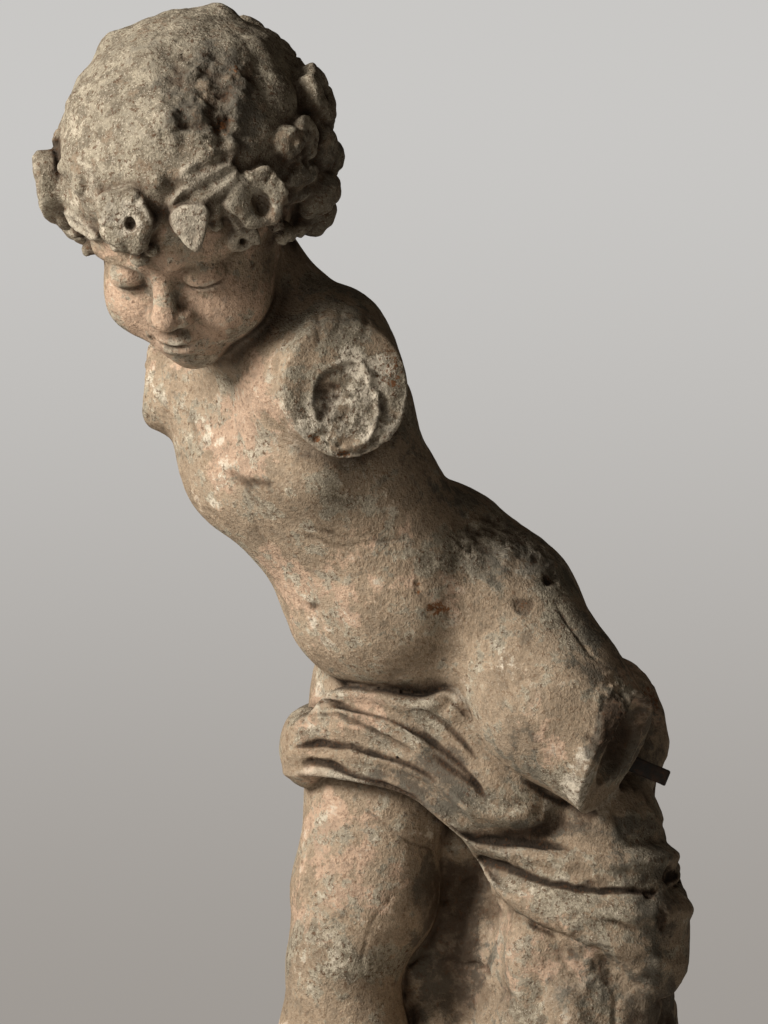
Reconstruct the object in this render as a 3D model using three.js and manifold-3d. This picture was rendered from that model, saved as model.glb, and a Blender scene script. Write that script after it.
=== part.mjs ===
// A weathered stone putto: the figure of a small child without arms, leaning forward over a tree stump,
// with a wreath of roses round its head and a cloth round its hips. An iron bar sticks out behind its thigh.
// Millimetres, +Z up, origin at the middle of the base's underside; the figure looks out over -Y and -X.

import * as THREE from "three";
import { mergeVertices } from "three/addons/utils/BufferGeometryUtils.js";
import Module from "manifold-3d";

// Driving dimensions.
const HEIGHT = 866; // underside of the base to the top of the hair
const BASE_HEIGHT = 54;
const BASE_WIDTH = 350;
const BASE_DEPTH = 290;
const BASE_CORNER = 70;
const BASE_BEVEL = 7;
const FOOTING = 6; // how far the carving runs down into the base

const BAR_WIDTH = 11;
const BAR_THICKNESS = 7;
const BAR_LENGTH = 92;
const BAR_SHOWN = 44;
const BAR_GAP = 0.3;

// The figure stands on the base and is set out in equal shares of its own height, with its feet at share 54.
const FIGURE_SHARES = 812;
const FEET_AT = 54;
const SHARE = (HEIGHT - BASE_HEIGHT) / FIGURE_SHARES;

// The grid that the carving is sampled on, in shares, and the faces that are kept.
const CARVING_STEP = 5;
const CARVING_FACES = 8900;

const BAR_MOUTH = [107, 1, 387]; // where the bar leaves the stone behind the broken thigh, in shares
const BAR_WAY = [0.92, 0.04, -0.39];
const DEGREE = Math.PI / 180;
const GOLDEN_ANGLE = Math.PI * (3 - Math.sqrt(5));
const FAR = 1e6;
const WELD = 1e-3;
const PINCH_FILL = 0.05; // how deep a filled grid point lies, in grid steps
const FAR_FROM_STONE = 60;
const BLOCK = 4; // grid points along a block that is tried once before it is sampled
const BLOCK_MARGIN = 10; // how far the surface may lie outside a block that is still sampled
const vec = (p) => new THREE.Vector3(...p);

// Smooth joins of two signed distances, rounded over a width k.
function softMin(a, b, k) {
  const h = Math.max(k - Math.abs(a - b), 0) / k;
  return Math.min(a, b) - (h * h * k) / 4;
}
const softMax = (a, b, k) => -softMin(-a, -b, k);

// A set of axes at a point: to the left, to the front and up, as seen by the figure itself.
function axes(origin, left, front, up) {
  const [o, l, f, u] = [origin, left, front, up].map(vec);
  const at = ([a, b, c]) => o.clone().addScaledVector(l, a).addScaledVector(f, b).addScaledVector(u, c);
  const local = (x, y, z) => {
    const p = [x - o.x, y - o.y, z - o.z];
    return [l, f, u].map((v) => p[0] * v.x + p[1] * v.y + p[2] * v.z);
  };
  return { l, f, u, at, local };
}

function carverAxes(origin, front, up) {
  const u = vec(up).normalize();
  const l = u.clone().cross(vec(front)).normalize();
  return axes(origin, l.toArray(), l.clone().cross(u).toArray(), u.toArray());
}

// Axes on a surface, their front pointing out of it.
function seatAxes(place, outward, up) {
  const f = vec(outward).normalize();
  const l = vec(up).cross(f).normalize();
  return axes(place, l.toArray(), f.toArray(), f.clone().cross(l).toArray());
}

const WORLD = axes([0, 0, 0], [1, 0, 0], [0, 1, 0], [0, 0, 1]);

// An ellipsoid on a set of axes. A shape is a signed distance with the ball that holds it.
function lump(on, centre, radii) {
  const c = on.at(centre);
  const [rl, rf, ru] = radii;
  const { l, f, u } = on;
  const distance = (x, y, z) => {
    const dx = x - c.x;
    const dy = y - c.y;
    const dz = z - c.z;
    const a = (dx * l.x + dy * l.y + dz * l.z) / rl;
    const b = (dx * f.x + dy * f.y + dz * f.z) / rf;
    const h = (dx * u.x + dy * u.y + dz * u.z) / ru;
    const k0 = Math.sqrt(a * a + b * b + h * h);
    const k1 = Math.sqrt((a / rl) ** 2 + (b / rf) ** 2 + (h / ru) ** 2);
    return k1 < 1e-9 ? -Math.min(rl, rf, ru) : (k0 * (k0 - 1)) / k1;
  };
  return { distance, centre: c, reach: Math.max(rl, rf, ru) };
}

// A round limb between two points, with a radius at each.
function limb(on, from, to, r0, r1) {
  const a = on.at(from);
  const d = on.at(to).sub(a);
  const length2 = d.lengthSq();
  const distance = (x, y, z) => {
    const px = x - a.x;
    const py = y - a.y;
    const pz = z - a.z;
    const t = Math.min(1, Math.max(0, (px * d.x + py * d.y + pz * d.z) / length2));
    const s = t * t * (3 - 2 * t);
    return Math.hypot(px - t * d.x, py - t * d.y, pz - t * d.z) - r0 - (r1 - r0) * s;
  };
  const centre = a.clone().addScaledVector(d, 0.5);
  return { distance, centre, reach: Math.sqrt(length2) / 2 + Math.max(r0, r1) };
}

// An upright oval disc with a rounded rim, its faces across the front.
function disc(on, radius, thickness, high) {
  const distance = (x, y, z) => {
    const [a, b, c] = on.local(x, y, z);
    const rim = (Math.hypot(a / radius, c / high) - 1) * Math.min(radius, high);
    return softMax(rim, Math.abs(b) - thickness, 4);
  };
  return { distance, centre: on.at([0, 0, 0]), reach: Math.hypot(Math.max(radius, high), thickness) };
}

// A pointed leaf from its stalk to its tip, its face turned outward. Taper moves its width to the stalk.
function leaf(stalk, tip, outward, halfWidth, thickness, taper = 0) {
  const run = tip.clone().sub(stalk);
  const half = run.length() / 2;
  const across = outward.clone().cross(run);
  const middle = stalk.clone().addScaledVector(run, 0.5);
  const on = seatAxes(middle.toArray(), run.clone().cross(across).toArray(), run.toArray());
  const arc = (half * half + halfWidth * halfWidth) / (2 * halfWidth);
  const distance = (x, y, z) => {
    const [a, b, c] = on.local(x, y, z);
    const wide = Math.abs(a) * (1 + taper * Math.max(-1, Math.min(1, c / half)));
    return softMax(Math.hypot(wide + arc - halfWidth, c) - arc, Math.abs(b) - thickness, 3);
  };
  return { distance, centre: middle, reach: half + thickness };
}

// The box that some shapes lie in: their own boxes, or the boxes of their balls.
function boxOf(shapes) {
  const box = new THREE.Box3();
  for (const s of shapes) {
    const size = new THREE.Vector3(2, 2, 2).multiplyScalar(s.reach);
    box.union(s.box ?? new THREE.Box3().setFromCenterAndSize(s.centre, size));
  }
  return box;
}

// Several shapes as one, their joins rounded over k, or over a shape's own join.
function blend(k, shapes) {
  const box = boxOf(shapes);
  const ball = box.getBoundingSphere(new THREE.Sphere());
  const distance = (x, y, z) => {
    let best = FAR;
    for (const s of shapes) {
      const join = s.join ?? k;
      const away = Math.hypot(x - s.centre.x, y - s.centre.y, z - s.centre.z) - s.reach;
      if (away < best + join) best = softMin(best, s.distance(x, y, z), join);
    }
    return best;
  };
  return { distance, box, centre: ball.center, reach: ball.radius };
}

const joined = (join, shape) => ({ ...shape, join });

// A shape broken off along a plane through a point, facing the normal.
function broken(shape, point, normal, k) {
  const n = vec(normal).normalize();
  const p = vec(point);
  const distance = (x, y, z) =>
    softMax(shape.distance(x, y, z), (x - p.x) * n.x + (y - p.y) * n.y + (z - p.z) * n.z, k);
  return { ...shape, distance };
}

// A shape with another carved out of it.
function hollowed(shape, tool, k) {
  const distance = (x, y, z) => softMax(shape.distance(x, y, z), -tool.distance(x, y, z), k);
  return { ...shape, distance };
}

const SIDES = [-1, 1];

// The torso leans forward and to the figure's right.
const torsoAxes = carverAxes([3, 25, 464], [-0.51, -0.59, -0.62], [-0.56, -0.32, 0.765]);

function torso() {
  const t = torsoAxes;
  return blend(24, [
    lump(t, [0, -2, 0], [68, 62, 56]),
    lump(t, [-2, 22, 54], [72, 62, 62]),
    lump(t, [-2, 5, 100], [70, 58, 58]),
    lump(t, [-5, 6, 148], [80, 62, 66]),
    lump(t, [-6, 0, 190], [78, 46, 38]),
    ...SIDES.map((s) => lump(t, [s * 30 - 4, 42, 168], [34, 18, 22])),
    lump(WORLD, [-139, 6, 594], [36, 42, 44]),
    lump(WORLD, [0, 20, 520], [41, 38, 41]),
    ...SIDES.map((s) => lump(t, [s * 34, -34, 172], [32, 20, 32])),
    lump(t, [34, -32, -14], [42, 42, 46]),
    lump(t, [-32, -36, -12], [44, 44, 50]),
    lump(t, [42, -8, 6], [38, 44, 48]),
    lump(t, [28, -20, 44], [36, 38, 40]),
  ]);
}

// Both arms are broken off at the shoulder. The right stub is cut back on two faces.
const LEFT_SCAR = { point: [-61, -118, 616], way: [0.2, -0.95, -0.1] };
const RIGHT_SCARS = [
  { point: [-194, 20, 632], way: [-0.93, 0.25, 0.1] },
  { point: [-194, -2, 630], way: [-0.78, -0.62, 0.05] },
];

function shoulders() {
  const w = WORLD;
  const left = limb(w, [-78, -70, 648], [-59, -134, 612], 44, 39);
  let right = limb(w, [-128, -6, 630], [-178, 20, 630], 42, 34);
  for (const scar of RIGHT_SCARS) right = broken(right, scar.point, scar.way, 4);
  return blend(20, [
    broken(left, LEFT_SCAR.point, LEFT_SCAR.way, 3),
    right,
    limb(w, [-112, -38, 640], [-140, -74, 704], 42, 40),
    limb(w, [-86, -34, 650], [-124, -52, 706], 37, 28),
  ]);
}

// The left thigh, broken off above the knee. The broken face is a little hollow.
const THIGH_BREAK = { point: [106, -52, 398], way: [0.8, -0.37, -0.47], depth: 7 };

function leftThigh() {
  const whole = blend(10, [
    limb(WORLD, [36, -8, 482], [69, -30, 423], 49, 51),
    limb(WORLD, [69, -30, 423], [114, -52, 382], 51, 41),
  ]);
  const stub = broken(whole, THIGH_BREAK.point, THIGH_BREAK.way, 4);
  const end = seatAxes(THIGH_BREAK.point, THIGH_BREAK.way, [0, 0, 1]);
  return hollowed(stub, lump(end, [0, 0, 2], [22, THIGH_BREAK.depth, 30]), 4);
}

// The right leg, on which the figure stands.
function rightLeg() {
  const w = WORLD;
  return blend(9, [
    joined(18, limb(w, [-32, 52, 425], [-53, 42, 290], 57, 46)),
    joined(18, limb(w, [-53, 42, 290], [-67, 38, 244], 46, 35)),
    joined(16, lump(w, [-72, 14, 254], [24, 14, 26])),
    joined(18, limb(w, [-67, 38, 244], [-67, 42, 190], 34, 40)),
    joined(18, limb(w, [-67, 42, 190], [-69, 50, 92], 40, 24)),
    limb(w, [-66, 56, 72], [-88, 0, 66], 24, 18),
    lump(w, [-94, -14, 62], [22, 22, 12]),
  ]);
}

// The head is bowed, and turned a little to the figure's right.
const headAxes = carverAxes([-161, -100, 745], [-0.25, -0.687, -0.682], [-0.233, -0.641, 0.731]);

function face() {
  const h = headAxes;
  const mass = blend(14, [
    lump(h, [0, -6, 14], [70, 82, 72]),
    lump(h, [0, 34, 24], [52, 42, 40]),
    lump(h, [0, 34, -36], [52, 44, 48]),
    lump(h, [0, 34, -58], [38, 34, 24]),
    ...SIDES.map((s) => lump(h, [s * 29, 50, -40], [24, 23, 24])),
    lump(h, [0, 62, -74], [16, 13, 13]),
    lump(h, [0, 66, -54], [20, 17, 16]),
  ]);
  const sockets = blend(4, SIDES.map((s) => lump(h, [s * 24, 82, -8], [15, 12, 10])));
  return blend(4, [
    hollowed(mass, sockets, 8),
    ...SIDES.map((s) => lump(h, [s * 24, 62, -9], [14, 13, 12])),
    joined(6, limb(h, [0, 72, -4], [0, 86, -30], 6, 9)),
    ...SIDES.map((s) => lump(h, [s * 9, 81, -33], [6, 8, 6])),
    lump(h, [0, 79, -50], [14, 8, 4.5]),
    lump(h, [0, 77, -59], [11, 8, 5]),
  ]);
}

// The hair is worn smooth on the crown and keeps its curls at the sides and the nape.
const HAIR = { centre: [1, -15, 22], radii: [82, 96, 87] };
const CROWN_LUMPS = 38;
const CURL_ROWS = [
  { up: 16, out: 82, size: 15, from: 100, to: 296, count: 10 },
  { up: -10, out: 79, size: 15, from: 92, to: 284, count: 10 },
  { up: -36, out: 67, size: 15, from: 100, to: 262, count: 8 },
];
// Curls at the temples: the turn to the left and the rise from the front of the hair, in degrees.
const CURLS = [
  { turn: 75, rise: 15, wide: 13, high: 13 },
  { turn: 99, rise: 10, wide: 10, high: 18 },
  { turn: 115, rise: -5, wide: 9, high: 10 },
  { turn: 104, rise: -19, wide: 9, high: 11 },
  { turn: 96, rise: -27, wide: 10, high: 10 },
  { turn: 81, rise: -20, wide: 10, high: 11 },
  { turn: 74, rise: 1, wide: 8, high: 9 },
  { turn: 61, rise: -21, wide: 9, high: 8 },
  { turn: 58, rise: -5, wide: 9, high: 12 },
  { turn: -10, rise: 34, wide: 9, high: 8 },
  { turn: -30, rise: 25, wide: 8, high: 8 },
];

// Axes that sit on the hair, or a little proud of it.
function hairSeat({ turn, rise }, proud = 0) {
  const [t, r] = [turn * DEGREE, rise * DEGREE];
  const way = [Math.cos(r) * Math.sin(t), Math.cos(r) * Math.cos(t), Math.sin(r)];
  const { l, f, u, at } = headAxes;
  const place = at(way.map((n, i) => HAIR.centre[i] + n * (HAIR.radii[i] + proud)));
  const outward = new THREE.Vector3();
  [l, f, u].forEach((axis, i) => outward.addScaledVector(axis, way[i] / HAIR.radii[i]));
  return seatAxes(place.toArray(), outward.toArray(), u.toArray());
}

function hair() {
  const h = headAxes;
  const cap = broken(
    lump(h, HAIR.centre, HAIR.radii),
    h.at([0, 72, 36]).toArray(),
    h.u.clone().multiplyScalar(-1).addScaledVector(h.f, 0.6).toArray(),
    8,
  );
  const worn = [];
  for (let i = 0; i < CROWN_LUMPS; i++) {
    const up = 1 - (i + 0.5) / CROWN_LUMPS;
    const turn = i * GOLDEN_ANGLE;
    const ring = Math.sqrt(1 - up * up);
    const way = [ring * Math.sin(turn), ring * Math.cos(turn), up];
    const place = way.map((n, k) => HAIR.centre[k] + n * (HAIR.radii[k] - 12));
    const size = 14 + 3 * Math.sin(5 * turn);
    if (place[2] > 20) worn.push(lump(h, place, [size, size, size]));
  }
  const rows = CURL_ROWS.flatMap((row) =>
    Array.from({ length: row.count }, (_, i) => {
      const turn = (row.from + ((row.to - row.from) * i) / (row.count - 1)) * DEGREE;
      const place = [row.out * Math.sin(turn), 1.1 * row.out * Math.cos(turn) - 12, row.up];
      return lump(h, place, [row.size, row.size, row.size + 2]);
    }),
  );
  const curls = CURLS.map((c) => {
    const thick = 0.8 * Math.min(c.wide, c.high) + 2;
    return lump(hairSeat(c, 1), [0, 0, 0], [c.wide, thick, c.high]);
  });
  return blend(6, [cap, ...worn, ...rows, ...curls]);
}

// The wreath: roses and leaves round the head, by their turn to the left and rise on the hair in degrees.
const ROSE_THICKNESS = 8;
const ROSES = [
  { turn: -5, rise: 15, radius: 18, high: 22, proud: 4, eye: [4, -3], eyeSize: [3.4, 4.6], dish: 0 },
  { turn: 51, rise: 8, radius: 21, high: 22, proud: 6, eye: [2, -5], eyeSize: [6.5, 9.5], dish: 4 },
  { turn: -63, rise: 10, radius: 17, high: 23, proud: 8, eye: [0, 0], eyeSize: [4, 5], dish: 2 },
  ...[107, 170, 234].map((turn) => ({
    turn, rise: 13, radius: 19, high: 19, proud: 6, eye: [2, -2], eyeSize: [5, 5], dish: 3,
  })),
];
const LEAF_THICKNESS = 4;
const LEAVES = [
  { stalk: { turn: 13, rise: 16 }, tip: { turn: 50, rise: 22 }, halfWidth: 11 },
  { stalk: { turn: 21, rise: 28 }, tip: { turn: 54, rise: 27 }, halfWidth: 8 },
  { stalk: { turn: -18, rise: 20 }, tip: { turn: -43, rise: 32 }, halfWidth: 9 },
  { stalk: { turn: -24, rise: 2 }, tip: { turn: -56, rise: 0 }, halfWidth: 8 },
  { stalk: { turn: 67, rise: 3 }, tip: { turn: 91, rise: -12 }, halfWidth: 8 },
  ...[107, 170, 234].flatMap((turn) => [
    { stalk: { turn: turn - 15, rise: 14 }, tip: { turn: turn - 30, rise: 20 }, halfWidth: 9 },
    { stalk: { turn: turn + 15, rise: 14 }, tip: { turn: turn + 30, rise: 12 }, halfWidth: 9 },
  ]),
];
const HANGING_LEAF = { turn: 22, rise: 18, drop: [10, 1, -33], halfWidth: 11 };
const BUDS = [
  { turn: 13, rise: 30, size: 8 },
  { turn: -4, rise: -3, size: 7 },
  { turn: 33, rise: 8, size: 6 },
];

function wreath() {
  const shapes = [];
  for (const r of ROSES) {
    const on = hairSeat(r, r.proud);
    const [across, up] = r.eye;
    const [wide, high] = r.eyeSize;
    const eye = lump(on, [across, ROSE_THICKNESS, up], [wide, ROSE_THICKNESS + r.dish, high]);
    shapes.push(hollowed(disc(on, r.radius, ROSE_THICKNESS, r.high), eye, 3));
  }
  for (const { stalk, tip, halfWidth } of LEAVES) {
    const [a, b] = [hairSeat(stalk, 3), hairSeat(tip, 3)];
    shapes.push(leaf(a.at([0, 0, 0]), b.at([0, 0, 0]), a.f.clone().add(b.f), halfWidth, LEAF_THICKNESS));
  }
  const stalk = hairSeat(HANGING_LEAF, 4).at([0, 0, 0]);
  const tip = stalk.clone().add(vec(HANGING_LEAF.drop));
  shapes.push(leaf(stalk, tip, new THREE.Vector3(0, -1, 0), HANGING_LEAF.halfWidth, LEAF_THICKNESS, 0.6));
  for (const bud of BUDS) shapes.push(lump(hairSeat(bud, 2), [0, 0, 0], [bud.size, bud.size, bud.size]));
  return blend(3, shapes);
}

// The tree stump that carries the figure, with a root form behind the leg.
const TRUNKS = [
  { x: 92, y: 22, top: 325, foot: 70, head: 56 },
  { x: 2, y: 84, top: 300, foot: 46, head: 40 },
  { x: 50, y: 72, top: 320, foot: 52, head: 44 },
];
const BARK_LUMPS = 24;

function stump() {
  const w = WORLD;
  const bark = [];
  for (const trunk of TRUNKS)
    for (let i = 0; i < BARK_LUMPS; i++) {
      const turn = i * GOLDEN_ANGLE;
      const up = 66 + (trunk.top - 80) * ((i + 0.5) / BARK_LUMPS);
      const out = trunk.foot + (trunk.head - trunk.foot) * ((up - 60) / (trunk.top - 60)) - 9;
      const place = [trunk.x + out * Math.sin(turn), trunk.y - out * Math.cos(turn), up];
      bark.push(lump(w, place, [16, 16, 32 + 8 * Math.cos(7 * turn)]));
    }
  return blend(9, [
    ...TRUNKS.map((t) => limb(w, [t.x, t.y, 60], [t.x, t.y, t.top], t.foot, t.head)),
    ...bark,
    lump(w, [98, 54, 392], [52, 46, 60]),
    lump(w, [10, 70, 330], [34, 40, 40]),
    lump(w, [-20, 96, 60], [54, 36, 26]),
    lump(w, [126, -34, 62], [40, 34, 24]),
    lump(w, [48, -28, 60], [36, 30, 22]),
  ]);
}

// A height read round the hips: t is the angle from the front, in degrees, on the oval the cloth is wound on.
const OVAL = { x: 27, y: 30, a: 135, b: 105, core: 0.5 };
// Near the oval's middle the angle is read from in front, where it would spin.
function ovalAngle(x, y) {
  const across = (x - OVAL.x) / OVAL.a;
  const ahead = -(y - OVAL.y) / OVAL.b;
  return Math.atan2(across, ahead + Math.max(OVAL.core - Math.hypot(across, ahead), 0)) / DEGREE;
}

// A smooth line through [angle, height] points, held flat past its ends unless it closes round the back.
function line(points, closed = false) {
  const p = closed
    ? [...points.slice(-2).map(([t, z]) => [t - 360, z]), ...points,
       ...points.slice(0, 2).map(([t, z]) => [t + 360, z])]
    : points;
  const slope = (i) => {
    const a = p[Math.max(0, i - 1)];
    const b = p[Math.min(p.length - 1, i + 1)];
    return (b[1] - a[1]) / (b[0] - a[0]);
  };
  return (t) => {
    if (t <= p[0][0]) return p[0][1];
    if (t >= p[p.length - 1][0]) return p[p.length - 1][1];
    let i = 0;
    while (t > p[i + 1][0]) i++;
    const w = p[i + 1][0] - p[i][0];
    const s = (t - p[i][0]) / w;
    return (
      p[i][1] * (1 + 2 * s) * (1 - s) ** 2 + p[i + 1][1] * s * s * (3 - 2 * s) +
      slope(i) * w * s * (1 - s) ** 2 + slope(i + 1) * w * s * s * (s - 1)
    );
  };
}

const UPPER_HEM = line(
  [[-150, 424], [-110, 412], [-90, 404], [-79, 408], [-64, 430], [-44, 429], [-29, 424], [-15, 430],
   [0, 420], [20, 392], [38, 374], [52, 352], [70, 350], [90, 352], [120, 380], [150, 404], [178, 418]],
  true,
);
const LOWER_HEM = line(
  [[-150, 366], [-110, 368], [-75, 371], [-61, 370], [-44, 362], [-31, 353], [-21, 341], [-13, 330],
   [-5, 316], [3, 300], [13, 287], [25, 276], [34, 267], [43, 255], [57, 228], [71, 236], [90, 262],
   [110, 300], [140, 330], [178, 352]],
  true,
);
// The folds: how far each rises or is cut in, its half width and its course in angles and heights.
const FOLDS = [
  { rise: 5, width: 8, course: [[-84, 402], [-64, 420], [-44, 420], [-29, 414], [-15, 420]] },
  { rise: -5, width: 5,
    course: [[-84, 398], [-64, 408], [-44, 406], [-29, 399], [-19, 388], [-9, 372], [3, 364]] },
  { rise: 5, width: 7,
    course: [[-84, 388], [-59, 391], [-44, 388], [-31, 382], [-17, 370], [-5, 354], [13, 346], [30, 352]] },
  { rise: -7, width: 5,
    course: [[-95, 376], [-55, 380], [-31, 371], [-13, 344], [8, 331], [23, 330], [54, 336], [90, 338]] },
  { rise: 6, width: 7,
    course: [[-90, 368], [-49, 366], [-34, 358], [-9, 329], [4, 322], [34, 318], [57, 318], [80, 321]] },
  { rise: -7, width: 5, course: [[-13, 320], [8, 305], [23, 300], [46, 296], [95, 300]] },
  { rise: 5, width: 8, course: [[-4, 306], [8, 295], [23, 287], [46, 280], [80, 276]] },
  { rise: -5, width: 5, course: [[24, 278], [39, 270], [53, 262], [76, 256]] },
];
const FOLD_FADE = 10; // degrees over which a fold dies out at its ends
const CLOTH = 9;
const CLOTH_TOP = 470;
const CLOTH_FOOT = 190;
const CLOTH_REACH = 30; // nothing of the cloth lies further than this from the form it is wound on

function drapery() {
  const w = WORLD;
  const under = blend(30, [
    limb(w, [-36, 52, 425], [-56, 42, 330], 56, 49),
    lump(w, [6, 32, 436], [62, 62, 50]),
    limb(w, [90, 22, 190], [90, 24, 288], 60, 58),
    lump(w, [96, 44, 384], [44, 46, 46]),
    lump(w, [113, 18, 268], [32, 50, 46]),
    lump(w, [34, 16, 372], [52, 50, 44]),
  ]);
  const folds = FOLDS.map((fold) => {
    const height = line(fold.course);
    const first = fold.course[0][0];
    const last = fold.course[fold.course.length - 1][0];
    return (t, z) => {
      const end = Math.min(1, Math.max(0, Math.min(t - first, last - t) / FOLD_FADE));
      if (end === 0) return 0;
      const d = (z - height(t)) / fold.width;
      return d * d > 9 ? 0 : fold.rise * end * Math.exp(-d * d);
    };
  });
  const distance = (x, y, z) => {
    const d = under.distance(x, y, z);
    const outside = Math.max(d - CLOTH_REACH, z - CLOTH_TOP, CLOTH_FOOT - z);
    if (outside > CLOTH_REACH) return outside;
    const t = ovalAngle(x, y);
    let lift = CLOTH;
    for (const fold of folds) lift += fold(t, z);
    return softMax(softMax(d - lift, (z - UPPER_HEM(t)) * 0.9, 8), (LOWER_HEM(t) - z) * 0.9, 6);
  };
  const box = under.box.clone().expandByScalar(CLOTH_REACH);
  return { distance, box, centre: under.centre, reach: under.reach + CLOTH_REACH };
}

// The whole carving, with the box that it lies in.
function figure() {
  const flesh = [torso(), shoulders(), joined(18, leftThigh()), joined(10, rightLeg())];
  const head = [face(), hair(), wreath()];
  const [cloth, stand] = [drapery(), stump()];
  const whole = blend(3, [joined(8, blend(16, flesh)), joined(8, blend(4, head)), joined(6, stand), cloth]);
  const box = boxOf([...flesh, ...head, cloth, stand]);
  box.min.z = FEET_AT - FOOTING;
  return { box, ...broken(whole, [0, 0, box.min.z], [0, 0, -1], 1) };
}

// Fills the grid points at which the surface would touch itself along an edge or at a point.
function fillPinches(values, [sx, sy, sz], depth) {
  const inside = (n) => values[n] < 0;
  const squares = [[sx, sy], [sy, sz], [sz, sx]].map(([p, q]) => [0, p, p + q, q]);
  const cube = [0, sx, sy, sx + sy, sz, sx + sz, sy + sz, sx + sy + sz];
  const end = values.length - cube[7];
  const fill = (points) => {
    const open = points.filter((n) => !inside(n));
    values[open.reduce((a, b) => (values[a] < values[b] ? a : b))] = -depth;
  };
  for (let filled = 1; filled > 0; ) {
    filled = 0;
    for (let n = 0; n < end; n++) {
      if (values[n] > FAR_FROM_STONE) continue;
      for (const square of squares) {
        const [a, b, c, d] = square.map((offset) => inside(n + offset));
        if (a !== c || b !== d || a === b) continue;
        fill(square.map((offset) => n + offset));
        filled++;
      }
      const solid = cube.filter((offset) => inside(n + offset));
      if (solid.length !== 2 && solid.length !== 6) continue;
      const pair = solid.length === 2 ? solid : cube.filter((offset) => !inside(n + offset));
      if (pair[0] + pair[1] !== cube[7]) continue;
      fill(cube.map((offset) => n + offset));
      filled++;
    }
  }
}

// The carving's surface: one vertex in each grid cell it passes through, set where the cell's edges cross it.
function sampled(shape, step) {
  const low = shape.box.min.clone().subScalar(2 * step).toArray();
  const high = shape.box.max.clone().addScalar(2 * step).toArray();
  const [nx, ny, nz] = [0, 1, 2].map((i) => Math.ceil((high[i] - low[i]) / step) + 1);
  const values = new Float32Array(nx * ny * nz).fill(FAR);
  const index = (i, j, k) => i + nx * (j + ny * k);
  const skip = (step * BLOCK * Math.sqrt(3)) / 2 + BLOCK_MARGIN;
  for (let k = 0; k < nz; k += BLOCK)
    for (let j = 0; j < ny; j += BLOCK)
      for (let i = 0; i < nx; i += BLOCK) {
        const middle = [i, j, k].map((n, a) => low[a] + (n + (BLOCK - 1) / 2) * step);
        const rough = shape.distance(...middle);
        for (let c = k; c < Math.min(k + BLOCK, nz); c++)
          for (let b = j; b < Math.min(j + BLOCK, ny); b++)
            for (let a = i; a < Math.min(i + BLOCK, nx); a++)
              values[index(a, b, c)] =
                Math.abs(rough) > skip
                  ? rough
                  : shape.distance(low[0] + a * step, low[1] + b * step, low[2] + c * step);
      }
  const strides = [1, nx, nx * ny];
  fillPinches(values, strides, step * PINCH_FILL);
  const vertexOf = new Int32Array(nx * ny * nz).fill(-1);
  const positions = [];
  const corners = [0, 1, 2, 3, 4, 5, 6, 7].map((n) => [n & 1, (n >> 1) & 1, (n >> 2) & 1]);
  const edges = [];
  for (let a = 0; a < 8; a++)
    for (const bit of [1, 2, 4]) if (!(a & bit)) edges.push([a, a | bit]);
  for (let k = 0; k < nz - 1; k++)
    for (let j = 0; j < ny - 1; j++)
      for (let i = 0; i < nx - 1; i++) {
        const v = corners.map(([a, b, c]) => values[index(i + a, j + b, k + c)]);
        const inside = v.filter((d) => d < 0).length;
        if (inside === 0 || inside === 8) continue;
        const sum = [0, 0, 0];
        let crossings = 0;
        for (const [a, b] of edges) {
          if (v[a] < 0 === v[b] < 0) continue;
          const s = v[a] / (v[a] - v[b]);
          for (let n = 0; n < 3; n++) sum[n] += corners[a][n] + s * (corners[b][n] - corners[a][n]);
          crossings++;
        }
        vertexOf[index(i, j, k)] = positions.length / 3;
        [i, j, k].forEach((cell, n) => positions.push(low[n] + (cell + sum[n] / crossings) * step));
      }
  const faces = [];
  for (let k = 1; k < nz - 1; k++)
    for (let j = 1; j < ny - 1; j++)
      for (let i = 1; i < nx - 1; i++) {
        const here = index(i, j, k);
        for (let axis = 0; axis < 3; axis++) {
          const a = values[here];
          const b = values[here + strides[axis]];
          if (a < 0 === b < 0) continue;
          const p = strides[(axis + 1) % 3];
          const q = strides[(axis + 2) % 3];
          const quad = [here, here - p, here - p - q, here - q].map((n) => vertexOf[n]);
          if (b < 0) quad.reverse();
          faces.push([quad[0], quad[1], quad[2]], [quad[0], quad[2], quad[3]]);
        }
      }
  return { positions, faces };
}

// Edge collapse by plane distances, refusing any collapse that would pinch the surface or turn a face over.
const TURN_LIMIT = 0.3; // cosine of the most that a face may turn in one collapse
const SLIVER = 1e-3; // a face of less than this area isn't made
const SOLVABLE = 1e-3; // below this determinant the best place isn't solved for
const FAR_SOLUTION = 3; // the solved place may lie this many edge lengths off
const STAY_PUT = 1e-4; // weight that keeps a place near the middle of its edge
const STALE = 1e4; // added to a point's stamp when it has moved

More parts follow.
